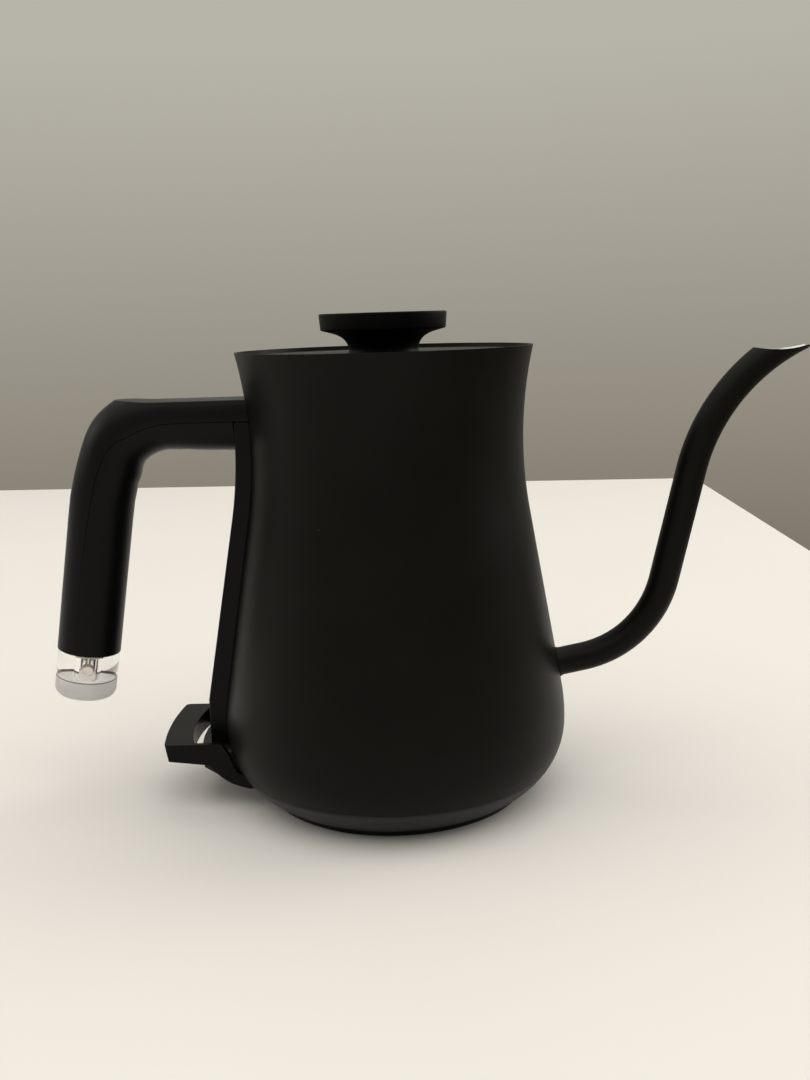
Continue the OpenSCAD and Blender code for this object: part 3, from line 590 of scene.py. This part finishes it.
def narrowRoot(bm, radius, start, lowCentre, bendEnd):
    # the tube is a little slimmer from above near the body
    size = spoutSize
    inwardOfRoot = along(size["rise"] + 90)
    for v in bm.verts:
        spot = v.co / mm
        ray = flat((spot.x - lowCentre.x, spot.z - lowCentre.z))
        turned = math.degrees(math.atan2(ray.z, ray.x)) + 90
        share = 0
        if spot.z < bendEnd.z + size["narrowPast"]:
            share = smoothShare(turned, size["climb"], size["rise"] + size["narrowTurn"])
        if turned > size["rise"]:
            inward, out = (size["bend"] - ray.length) / radius, ray.normalized()
        else:
            inward, out = (spot - start).dot(inwardOfRoot) / radius, -inwardOfRoot
        v.co += out * size["narrow"] * share * (1 + max(-1, min(1, inward))) / 2 * mm


def scoop(bm, topCentre, radius):
    # the mouth is cut by a large cylinder across the tube: each string of the upper bend is
    # shortened, and its points closed up, so that it ends on that cylinder
    size = spoutSize
    cutCentre = Vector((mouthLow[0], 0, mouthLow[1] + size["mouthCurve"]))
    begin = size["climb"] + 90
    end = begin - size["topTurn"]
    searchPast, halvings = 12, 40
    for v in bm.verts:
        place = v.co / mm - topCentre
        angle = math.degrees(math.atan2(place.z, place.x))
        reach = math.hypot(place.x, place.z)
        if abs(reach - size["topBend"]) > radius + 0.1 or not end - 0.5 < angle < begin + 0.01:
            continue

        def depth(a):
            spot = topCentre + reach * along(a) - cutCentre
            return math.hypot(spot.x, spot.z) - size["mouthCurve"]
        low, high = end - searchPast, begin
        # the string is outside the cutter at the start of the bend and inside it at the mouth
        for step in range(halvings):
            middle = (low + high) / 2
            if depth(middle) > 0:
                high = middle
            else:
                low = middle
        high = max(high, end)
        across = (size["tip"] - topCentre.x) / reach
        if across < 1:
            high = max(high, math.degrees(math.acos(across)))
        share = (begin - angle) / size["topTurn"]
        spot = topCentre + reach * along(begin + (high - begin) * share)
        v.co = Vector((spot.x, place.y + topCentre.y, spot.z)) * mm


def tubeDepth(spot):
    # how deep a point, in millimetres, lies under the spout's outer face
    size = spoutSize
    root, lowCentre, bendEnd, climbEnd, topCentre = spoutPath()
    if (spot - climbEnd).dot(along(size["climb"])) > 0:
        reach = spot - topCentre
        off = math.hypot(reach.x, reach.z) - size["topBend"]
    elif (spot - bendEnd).dot(along(size["climb"])) > 0:
        off = (spot - bendEnd).dot(along(size["climb"] + 90))
    elif (spot - root).dot(along(size["rise"])) > 0:
        reach = spot - lowCentre
        off = math.hypot(reach.x, reach.z) - size["bend"]
    else:
        off = (spot - root).dot(along(size["rise"] + 90))
    return size["radius"] - math.hypot(off, spot.y)


def paintFaces(thing, names, pick):
    # pick gives the number of a face's finish from the place of its centre
    for name in names:
        thing.data.materials.append(finishes[name])
    for face in thing.data.polygons:
        face.material_index = pick(face.center / mm)


def makeSpout():
    size = spoutSize
    bm = spoutTube(size["radius"], size["weld"])
    addShape(bm, spoutTube(size["radius"] - size["wall"], 0))
    rims = [e for e in bm.edges if e.is_boundary]
    for isMouth in (True, False):
        part = [e for e in rims if (e.verts[0].co.x > 0.1) == isMouth]
        bmesh.ops.bridge_loops(bm, edges=part)
    bmesh.ops.recalc_face_normals(bm, faces=bm.faces)
    thing = newObject("spoutTube", bm)
    paintFaces(thing, ("coat", "steel"), lambda spot: int(tubeDepth(spot) > size["coatDepth"]))
    dress(thing, "spout_tube", soften=size["soften"], limit=50)


makeBody()
makeSpout()
print("body and spout made")


# Lid and knob

lidSize = {"top": 156.6, "radius": 49.5, "edge": 153.6, "wall": 0.8, "round": 0.8, "taper": 0.45, "hole": 2,
           "steps": 160, "soften": 0.12}
knobSize = {"radius": 21.9, "top": 170, "hollow": 3.5, "hollowTop": 164.6, "stem": 12, "flare": 0.35,
            "flareRest": 0.05, "flareTop": 0.5, "stemTop": 1.4, "neckPull": (12.6, 162.0),
            "neckEnd": (17.6, 163.35), "under": (1.1, 164.22), "topRound": 0.6, "steps": 128}
knobEdge = [(0.75, 164.3), (0.42, 164.4), (0.36, 164.85)]


def makeLid():
    size = lidSize
    r, top, edge, wall = size["radius"], size["top"], size["edge"], size["wall"]
    outline = [(size["hole"], top), (r - size["round"], top)]
    outline += arcPoints((r - size["round"], top - size["round"]), size["round"], 80, 0, 5)
    outline += [(r - size["taper"], edge), (r - size["taper"] - wall, edge), (r - wall, top - wall),
                (size["hole"], top - wall)]
    thing = newObject("lidCover", spun(outline, size["steps"]))
    dress(thing, "lid_cover", soften=size["soften"], segments=2, limit=50)


def makeKnob():
    size = knobSize
    r, top, stem, foot = size["radius"], size["top"], size["stem"], lidSize["top"]
    outline = [(0, size["hollowTop"]), (size["hollow"], size["hollowTop"]), (size["hollow"], foot),
               (stem + size["flare"], foot), (stem + size["flareRest"], foot + size["flareTop"])]
    outline += curvePoints((stem, foot + size["stemTop"]), size["neckPull"], size["neckEnd"], 14)
    outline += [(r - size["under"][0], size["under"][1])]
    outline += curvePoints(*[(r - inward, z) for inward, z in knobEdge], 4)
    turn = size["topRound"]
    outline += [(r, top - turn - 0.1)]
    outline += curvePoints((r, top - turn), (r, top), (r - turn, top), 5)[1:]
    outline += [(0, top)]
    thing = newObject("knobBody", spun(outline, size["steps"], ring=False))
    dress(thing, "knob", finish="knob", smooth=32)


makeLid()
makeKnob()
print("lid and knob made")


# Handle

tubeSize = {
    "radius": 11.1, "wall": 2.2, "arm": 136.3, "flat": 142.1, "elbowX": -75.1, "elbow": 25, "lean": 9.8,
    "foot": 54, "armX": -46.0, "past": 6, "stripGap": 0.05, "bodyGap": 0.02, "soften": 0.26,
    "segments": 28, "armSteps": 4, "elbowSteps": 36, "gripSteps": 10,
    # the parting line: its height on the arm, its arc at the elbow, its drift and its gap down the grip
    "line": 134.9, "arcShift": 3.2, "arcGrow": 7.5, "arcEase": 2.5, "lineOut": 1.3, "drift": 1.3,
    "driftEnd": 34, "gap": 0.09, "closed": 0.75, "closing": (5, 40),
    # the ease inside the elbow, the arm's rise towards it, and the arm's depth towards the body
    "ease": 1.25, "easeBefore": 16, "easeSpan": 54, "gripRate": 1.6, "lift": 0.25, "rise": 0.7,
    "riseX": (80, 93), "riseZ": (112, 138), "deepen": 1.0, "deepenX": (-78, -52), "deepenInset": 1.4,
}
spineSize = {"half": 11, "topOut": 4.0, "footOut": 5.6, "foot": 20.03, "upright": 36, "wall": 1.6,
             "levels": 28, "lineGap": 0.04, "bodyGap": 0.02, "bodyFoot": 25.5, "corner": 0.9,
             "cornerAngle": 69, "soften": 0.15}
screwSize = {"armX": (-57, -69), "recess": 3.0, "seat": 129.5, "boss": 4.0, "bossZ": (126, 134.4),
             "hole": 1.55, "holeZ": (120, 140)}

elbowCentre = Vector((tubeSize["elbowX"], 0, tubeSize["arm"] - tubeSize["elbow"]))
gripLean = math.radians(tubeSize["lean"])
gripOut = Vector((-math.cos(gripLean), 0, math.sin(gripLean)))
gripUp = Vector((math.sin(gripLean), 0, math.cos(gripLean)))
gripTop = elbowCentre + tubeSize["elbow"] * gripOut
gripLength = (gripTop.z - tubeSize["foot"]) / gripUp.z
gripFoot = gripTop - gripUp * gripLength
lineReach = tubeSize["elbow"] - (tubeSize["arm"] - tubeSize["line"]) + tubeSize["arcGrow"]
lineCentre = Vector((elbowCentre.x + tubeSize["arcShift"], 0, tubeSize["line"] - lineReach))


def stripOut(z):
    share = (z - spineSize["upright"]) / (tubeSize["line"] - spineSize["upright"])
    return spineSize["footOut"] + (spineSize["topOut"] - spineSize["footOut"]) * share


def stripX(z):
    level = max(z, spineSize["upright"])
    return -bodyRadius(level) - stripOut(level)


def downGrip(spot):
    # how far a point lies below the top of the grip, along it
    return (gripTop - spot).dot(gripUp)


def tubeFrame(spot):
    # the nearest point of the tube's axis, and the direction that points out of the bend there
    if spot.x > elbowCentre.x:
        return Vector((spot.x, 0, tubeSize["arm"])), Vector((0, 0, 1))
    ray = spot - elbowCentre
    ray.y = 0
    if math.atan2(ray.z, -ray.x) > gripLean:
        return elbowCentre + tubeSize["elbow"] * ray.normalized(), ray.normalized()
    return gripTop - gripUp * downGrip(spot), gripOut


def lineOffset(spot, outward):
    # how far the parting line lies outward of the axis
    size = tubeSize
    if spot.x > lineCentre.x:
        return size["line"] - size["arm"]
    if outward == gripOut:
        return size["lineOut"] + size["drift"] * smoothShare(downGrip(spot), 0, size["driftEnd"])
    # where the ray from the elbow's centre meets the line's arc
    away = elbowCentre - lineCentre
    b = away.dot(outward)
    c = away.length_squared - lineReach ** 2
    hit = -b + math.sqrt(b * b - c)
    share = min(1, max(0, (spot.x - gripTop.x) / (elbowCentre.x - gripTop.x)))
    ease = min(1, share * size["arcEase"])
    return (hit - size["elbow"]) * ease + size["lineOut"] * (1 - ease)


def elbowEase(spot, outward):
    # the bend cuts its corner a little on the grip's side; angles are counted up from the grip's top
    size = tubeSize
    turned = math.degrees(math.atan2(outward.z, -outward.x)) - size["lean"]
    if turned < 0.01:
        turned = -downGrip(spot) * size["gripRate"]
    share = min(1, max(0, (turned + size["easeBefore"]) / size["easeSpan"]))
    return size["ease"] * math.sin(math.pi * share) ** 2


def settleArm(bm, upper):
    # the arm rises a little towards the elbow, and its lower half deepens towards the body
    size = tubeSize
    for v in bm.verts:
        spot = v.co / mm
        rise = size["lift"] + size["rise"] * smoothShare(-spot.x, *size["riseX"])
        rise *= smoothShare(spot.z, *size["riseZ"])
        deep = 0 if upper else size["deepen"] * smoothShare(spot.x, *size["deepenX"])
        depth = (size["line"] - spot.z) / (size["radius"] - size["deepenInset"])
        v.co.z += (rise - deep * min(1, max(0, depth))) * mm


def halfTube(upper):
    # half of the tube's wall, as an open sheet from the body to below the grip's foot
    size = tubeSize
    r, count = size["radius"], size["segments"]
    bm = bmesh.new()
    angles = [math.pi * i / count for i in range(count + 1)]
    sign = 1 if upper else -1
    start = size["armX"] if upper else stripX(size["line"]) - size["stripGap"]
    verts = [bm.verts.new(Vector((start, r * math.cos(a), size["arm"] + sign * r * math.sin(a))) * mm)
             for a in angles]
    edges = [bm.edges.new(pair) for pair in zip(verts, verts[1:])]
    first = set(verts)
    for step in range(size["armSteps"]):
        edges = pullEdges(bm, edges, Vector(((size["elbowX"] - start) / size["armSteps"], 0, 0)))
    edges = turnEdges(bm, edges, elbowCentre, 90 - size["lean"], size["elbowSteps"])
    for step in range(size["gripSteps"]):
        edges = pullEdges(bm, edges, -gripUp * (gripLength + size["past"]) / size["gripSteps"])

    # each string is turned about the axis, so that the sheet's edges follow the parting line
    for v in bm.verts:
        spot = v.co / mm
        axis, outward = tubeFrame(spot)
        away = spot - axis
        angle = math.atan2(away.dot(outward), away.y)
        gap = size["gap"] * (1 - size["closed"] * smoothShare(downGrip(spot), *size["closing"]))
        shift = math.asin((lineOffset(spot, outward) + sign * gap) / r)
        angle += shift * math.cos(angle)
        place = axis + Vector((0, r * math.cos(angle), 0)) + outward * r * math.sin(angle)
        v.co = (place - outward * elbowEase(spot, outward)) * mm
    return bm, first


def trimSheet(bm, point, normal, isCut):
    bmesh.ops.bisect_plane(bm, geom=bm.verts[:] + bm.edges[:] + bm.faces[:], dist=1e-7,
                           plane_co=point * mm, plane_no=normal, clear_outer=isCut)


def makeShell(name, upper, node):
    size, screw = tubeSize, screwSize
    bm, first = halfTube(upper)
    if upper:
        for v in first:
            spot = v.co / mm
            v.co.x = (bodyX(spot.y, min(spot.z, size["flat"])) - size["bodyGap"]) * mm
    trimSheet(bm, gripFoot, -gripUp, True)
    if upper:
        trimSheet(bm, Vector((0, 0, size["flat"])), (0, 0, 1), False)
        for v in bm.verts:
            v.co.z = min(v.co.z, size["flat"] * mm)
    settleArm(bm, upper)
    bmesh.ops.remove_doubles(bm, verts=bm.verts, dist=1e-6)
    bmesh.ops.recalc_face_normals(bm, faces=bm.faces)
    # the sheet's normals point away from the tube's axis; a face in the middle of the arm shows it
    middle = Vector((-60, 0, 0)) * mm
    face = min(bm.faces, key=lambda f: (f.calc_center_median() - middle).xy.length)
    if (face.normal.z > 0) != upper:
        bmesh.ops.reverse_faces(bm, faces=bm.faces)
    thing = newObject(name, bm)
    thicken(thing, size["wall"])
    if not upper:
        for x in screw["armX"]:
            bossFoot, bossTop = ((x, 0, z) for z in screw["bossZ"])
            holeFoot, holeTop = ((x, 0, z) for z in screw["holeZ"])
            carve(thing, "UNION", cylinder(bossFoot, bossTop, screw["boss"]))
            carve(thing, "DIFFERENCE", cylinder(holeFoot, (x, 0, screw["seat"]), screw["recess"]),
                  cylinder(holeFoot, holeTop, screw["hole"]))
    dress(thing, node, soften=size["soften"], limit=38)


makeShell("handleOuter", True, "handle_outer_shell")
makeShell("handleInner", False, "handle_inner_shell")
print("handle made")


# Strip down the back

def stripRow(z):
    # the strip's outline at a height: up one flank, across the back and down the other
    size = spineSize
    half, back = size["half"], stripX(z)
    inner = bodyX(half, max(z, size["bodyFoot"])) - size["bodyGap"]
    return [(inner, -half, z), (back, -half, z), (back, half, z), (inner, half, z)]


def makeStrip():
    size = spineSize
    top = tubeSize["line"] - size["lineGap"]
    count = size["levels"]
    levels = [size["foot"] + (top - size["foot"]) * i / count for i in range(count + 1)]
    bm = bmesh.new()
    verts = [bm.verts.new(Vector(p) * mm) for p in stripRow(levels[0])]
    edges = [bm.edges.new(pair) for pair in zip(verts, verts[1:])]
    for z in levels[1:]:
        edges = pullEdges(bm, edges, Vector())
        moved = {v for e in edges for v in e.verts}
        # the new points in the order of the outline
        order = sorted(moved, key=lambda v: (round(v.co.y, 6), v.co.x * (1 if v.co.y > 0 else -1)))
        for v, place in zip(order, stripRow(z)):
            v.co = Vector(place) * mm
    bmesh.ops.recalc_face_normals(bm, faces=bm.faces)
    back = min(bm.faces, key=lambda f: f.calc_center_median().x)
    if back.normal.x > 0:
        bmesh.ops.reverse_faces(bm, faces=bm.faces)
    sharp = math.radians(size["cornerAngle"])
    corners = [e for e in bm.edges if len(e.link_faces) == 2 and e.calc_face_angle() > sharp]
    bmesh.ops.bevel(bm, geom=corners, offset=size["corner"] * mm, affect="EDGES", segments=5, profile=0.5,
                    material=-1)
    thing = newObject("backStrip", bm)
    thicken(thing, size["wall"])
    dress(thing, "spine_cover", soften=size["soften"], segments=2, limit=50)


makeStrip()
print("strip made")


# Lamp

lensSize = {"radius": 10.8, "length": 17.3, "edge": 3, "well": 4.8, "wellDepth": 2.05, "bore": 3.05,
            "boreLength": 10.2, "boreRound": 0.8, "topGap": 0.03, "band": 5, "frost": 9.8,
            "groove": 0.42, "grooveDepth": 0.16, "steps": 128}
bulbSize = {"radius": 2.6, "wall": 0.45, "top": -2.1, "round": -7.2, "shoulder": 0.4, "roof": (1.2, 0.9),
            "steps": 48}
pinSize = {"radius": 0.42, "at": 0.65, "tip": -5.8, "round": 0.3, "top": 5, "steps": 20}
gripPlace = Matrix.Translation(gripFoot * mm) @ Matrix.Rotation(gripLean, 4, "Y")


def makeLens():
    size = lensSize
    r, length, edge = size["radius"], size["length"], size["edge"]
    bore, depth, turn = size["bore"], size["boreLength"], size["boreRound"]
    well, wellDepth, top = size["well"], size["wellDepth"], -size["topGap"]
    frost, groove = size["frost"], size["groove"]
    outline = [(0, -depth), (bore - turn, -depth)]
    outline += arcPoints((bore - turn, -depth + turn), turn, -70, 0, 6)
    outline += [(bore, -wellDepth), (well, -wellDepth), (well, top), (r, top), (r, -size["band"]),
                (r, -frost), (r - size["grooveDepth"], -frost - groove / 2), (r, -frost - groove)]
    outline += arcPoints((r - edge, -length + edge), edge, 0, -90, 12)
    outline += [(0, -length)]
    bm = spun(outline, size["steps"], ring=False)
    bmesh.ops.transform(bm, matrix=gripPlace, verts=bm.verts)
    thing = newObject("lampLens", bm)

    def pick(spot):
        down = (gripFoot - spot).dot(gripUp)
        away = (spot - gripFoot + gripUp * down).length
        if down > frost + groove:
            return 1
        return 2 if down > frost and away > bore + 1 else 0

    # the end of the lens is frosted, below a fine groove whose band takes the grey groove finish, a painted
    # shadow line
    paintFaces(thing, ("clear", "frost", "groove"), pick)
    dress(thing, "lamp_lens", smooth=40)


def makeBulb():
    size = bulbSize
    r, wall, top, shoulder = size["radius"], size["wall"], size["top"], size["shoulder"]
    ball = arcPoints((0, size["round"]), r, 0, -90, 12)
    hollow = arcPoints((0, size["round"]), r - wall, -90, 0, 10)
    outline = [(0, top), (r - shoulder, top), (r, top - shoulder)] + ball
    outer = spun([(abs(x), z) for x, z in outline], size["steps"], ring=False)
    side, middle = (top - below for below in size["roof"])
    inside = [(0, size["round"] - r + wall)] + [(abs(x), z) for x, z in hollow[1:]]
    inside += [(r - wall, side), (0, middle)]
    inner = spun(inside, size["steps"], ring=False)
    bmesh.ops.reverse_faces(inner, faces=inner.faces)
    addShape(outer, inner)
    bmesh.ops.transform(outer, matrix=gripPlace, verts=outer.verts)
    dress(newObject("lampBulb", outer), "neon_lamp", smooth=60)


def makePins():
    size = pinSize
    r, tip, top = size["radius"], size["tip"], size["top"]
    outline = [(0, tip), (r * 0.7, tip + 0.05), (r, tip + size["round"]), (r, top), (0, top)]
    bm = bmesh.new()
    for side in (-1, 1):
        pin = spun(outline, size["steps"], ring=False)
        bmesh.ops.translate(pin, verts=pin.verts, vec=(side * size["at"] * mm, 0, 0))
        addShape(bm, pin)
    bmesh.ops.transform(bm, matrix=gripPlace, verts=bm.verts)
    thing = newObject("lampPins", bm)
    dress(thing, "lamp_electrodes", finish="pins", smooth=40)


makeLens()
makeBulb()
makePins()
print("lamp made")


# Switch lever

leverSize = {"outer": 82.6, "outerFoot": 81.5, "bow": 138, "corner": 1.8, "inner": 73.4, "half": 21.2,
             "top": 23.9, "cheek": 1.9, "foot": 17.9, "cone": (0, 30), "cut": (0, 40), "past": 3,
             "cheekY": 19.3, "bodyGap": 0.85, "soften": 0.35}
# the lever's side: along its top, down beside the body to the pin, and back under it
leverSide = [(-84, 23.9), (-61.4, 23.7), (-60.9, 23.5), (-58.9, 20.2)]
leverSide += [(bodyX(leverSize["cheekY"], z) - leverSize["bodyGap"], z)
              for z in (18.2, 16.6, 15.1, 13.8, 12.8)]
leverSide += [(-50.5, 11.2), (-41.5, 11), (-41.5, 7), (-52, 6.9), (-55, 7.8), (-58, 8.9), (-60.4, 10.5),
              (-63.5, 13.2), (-65.6, 16), (-84, 18.3)]


def makeLever():
    size = leverSize
    half, corner, bow = size["half"], size["corner"], size["bow"]
    thing = newObject("switchLever", extruded(leverSide, -half, half))
    # the outer face is bowed, and leans in towards its foot
    slope = (size["outer"] - size["outerFoot"]) / (size["top"] - size["foot"])
    low, high = size["cone"]
    middle = bow - size["outer"]
    carve(thing, "INTERSECT",
          cylinder((middle, 0, low), (middle, 0, high), bow - slope * (size["top"] - low), 512,
                   bow + slope * (high - size["top"])))
    # the corners of the plan meet the bowed outer face without a step
    turn = (middle - math.sqrt((bow - corner) ** 2 - (half - corner) ** 2), half - corner)
    lean = math.degrees(math.asin(turn[1] / (bow - corner)))
    plan = [(0, -half)] + arcPoints((turn[0], -turn[1]), corner, 270, 180 + lean, 8)
    plan += [(-size["outer"] - size["past"], 0)]
    plan += arcPoints(turn, corner, 180 - lean, 90, 8) + [(0, half)]
    carve(thing, "INTERSECT", extruded(plan, *size["cut"], axis="Z"))
    between = half - size["cheek"]
    edge = math.degrees(math.asin(between / size["inner"]))
    gap = arcPoints((0, 0), size["inner"], 180 - edge, 180 + edge, 40) + [(0, -between), (0, between)]
    carve(thing, "DIFFERENCE", extruded(gap, *size["cut"], axis="Z"))
    dress(thing, "switch_lever", soften=size["soften"], limit=28)


makeLever()
print("lever made")


# Base

# where the ears of the lever's pin are, and how far inside the cover's outline they end
earSize = {"x": (-51.2, -44.8), "y": (16.2, 18.6), "below": 3.6, "inside": 0.6, "highest": 9, "step": 0.05}


def makeBaseCover():
    # the cover keeps its exact shape, but its ears end above the cover's outline
    size = earSize
    (left, right), (near, far) = size["x"], size["y"]
    bm = bmesh.new()
    bm.from_mesh(frame["nodes"]["base_cover"].data)
    bmesh.ops.remove_doubles(bm, verts=bm.verts, dist=1e-6)
    bmesh.ops.dissolve_degenerate(bm, edges=bm.edges, dist=1e-7)
    for v in bm.verts:
        spot = v.co / mm
        if spot.z < size["below"] and near < abs(spot.y) < far and left < spot.x < right:
            level = spot.z
            reach = math.hypot(spot.x, spot.y) + size["inside"]
            while bodyRadius(level) < reach and level < size["highest"]:
                level += size["step"]
            v.co.z = level * mm
    thing = newObject("baseCover", bm)
    dress(thing, "base_cover", finish="cover", smooth=40)


makeBaseCover()
print("base made")


# Floor, backdrop and light

# Lengths from here on are metres.
# the floor's corner and the ends of its far and right edges
floorSize = {"corner": (0.300, 0.716), "farEnd": (-4.2, 1.086), "nearLeft": (-4.2, -2.5),
             "nearEnd": (0.187, -2.5), "tone": (0.815, 0.785, 0.735), "mottle": 300.0, "mottleShade": 0.975}
# the dome's strength at the horizon and overhead, and the heights of a ray between which the wall changes
# from its foot tone, a painted shade, to its top tone
worldTone = {"dome": (0.80, 0.79, 0.77), "domeStrength": (0.08, 0.80), "wallTop": (0.475, 0.455, 0.40),
             "wallFoot": (0.215, 0.188, 0.150), "wallRise": (-0.20, 0.22)}
lampSize = {
    "overhead": {"place": (0, -0.15, 1.5), "aim": (0, 0, 0), "size": (3.0, 2.6), "power": 26.8},
    "left": {"place": (-1.5, 0.1, 0.75), "aim": (-0.1, 0, 0.02), "size": (1.2, 0.7), "power": 3.6},
    "right": {"place": (1.5, 0.5, 0.7), "aim": (0, 0, 0.04), "size": (1.0, 0.8), "power": 7.5},
}
lampTone = (1, 0.97, 0.92)


def makeFloor():
    bm = bmesh.new()
    corners = [floorSize[name] for name in ("corner", "farEnd", "nearLeft", "nearEnd")]
    bm.faces.new([bm.verts.new((x, y, 0)) for x, y in corners])
    bmesh.ops.recalc_face_normals(bm, faces=bm.faces)
    if bm.faces[:][0].normal.z < 0:
        bmesh.ops.reverse_faces(bm, faces=bm.faces)
    floor = newObject("floor", bm)
    material, tree = newMaterial("floor")
    texture = addGroup(tree, grainGroup, Grain_Size=2.0, Mottle_Size=floorSize["mottle"])
    share = addRange(tree, texture["Mottle"], 0, 1, 0.3, 0.7)
    tone = floorSize["tone"]
    shade = tuple(c * floorSize["mottleShade"] for c in tone)
    fillShader(tree, Base_Color=addBlend(tree, share, tone, shade), Roughness=0.6)
    floor.data.materials.append(material)


def makeWorld():
    # the dome lights the scene; the camera, mirrors and glass see a wall that is darker towards its foot, a
    # painted shade
    world = bpy.data.worlds.new("studio")
    world.use_nodes = True
    scene.world = world
    tree, tone = world.node_tree, worldTone
    tree.nodes.clear()
    place = addNode(tree, "ShaderNodeTexCoord")
    height = addNode(tree, "ShaderNodeSeparateXYZ", Vector=place.outputs["Generated"]).outputs["Z"]
    light = addNode(tree, "ShaderNodeBackground", Color=tone["dome"],
                    Strength=addRange(tree, height, *tone["domeStrength"], 0, 1))
    rise = addRange(tree, height, 0, 1, *tone["wallRise"])
    wall = addNode(tree, "ShaderNodeBackground", Strength=1.0,
                   Color=addBlend(tree, rise, tone["wallFoot"], tone["wallTop"]))
    rays = addNode(tree, "ShaderNodeLightPath").outputs
    mirrored = addMath(tree, "MAXIMUM", rays["Is Transmission Ray"], rays["Is Glossy Ray"])
    seen = addMath(tree, "MAXIMUM", rays["Is Camera Ray"], mirrored)
    mix = addNode(tree, "ShaderNodeMixShader")
    for socket, source in zip(mix.inputs, (seen, light.outputs[0], wall.outputs[0])):
        plug(tree, socket, source)
    addNode(tree, "ShaderNodeOutputWorld", Surface=mix.outputs[0])


def softLamp(name, place, aim, size, power):
    data = bpy.data.lights.new(name, "AREA")
    data.shape = "RECTANGLE"
    data.size, data.size_y = size
    data.energy = power
    data.color = lampTone
    lamp = bpy.data.objects.new(name, data)
    scene.collection.objects.link(lamp)
    spot = Vector(place)
    turn = (Vector(aim) - spot).to_track_quat("-Z", "Y")
    lamp.matrix_world = Matrix.Translation(spot) @ turn.to_matrix().to_4x4()


makeFloor()
makeWorld()
for name, values in lampSize.items():
    softLamp(name, **values)
print("floor and light made")


# Finish

scene.view_settings.view_transform = "Standard"
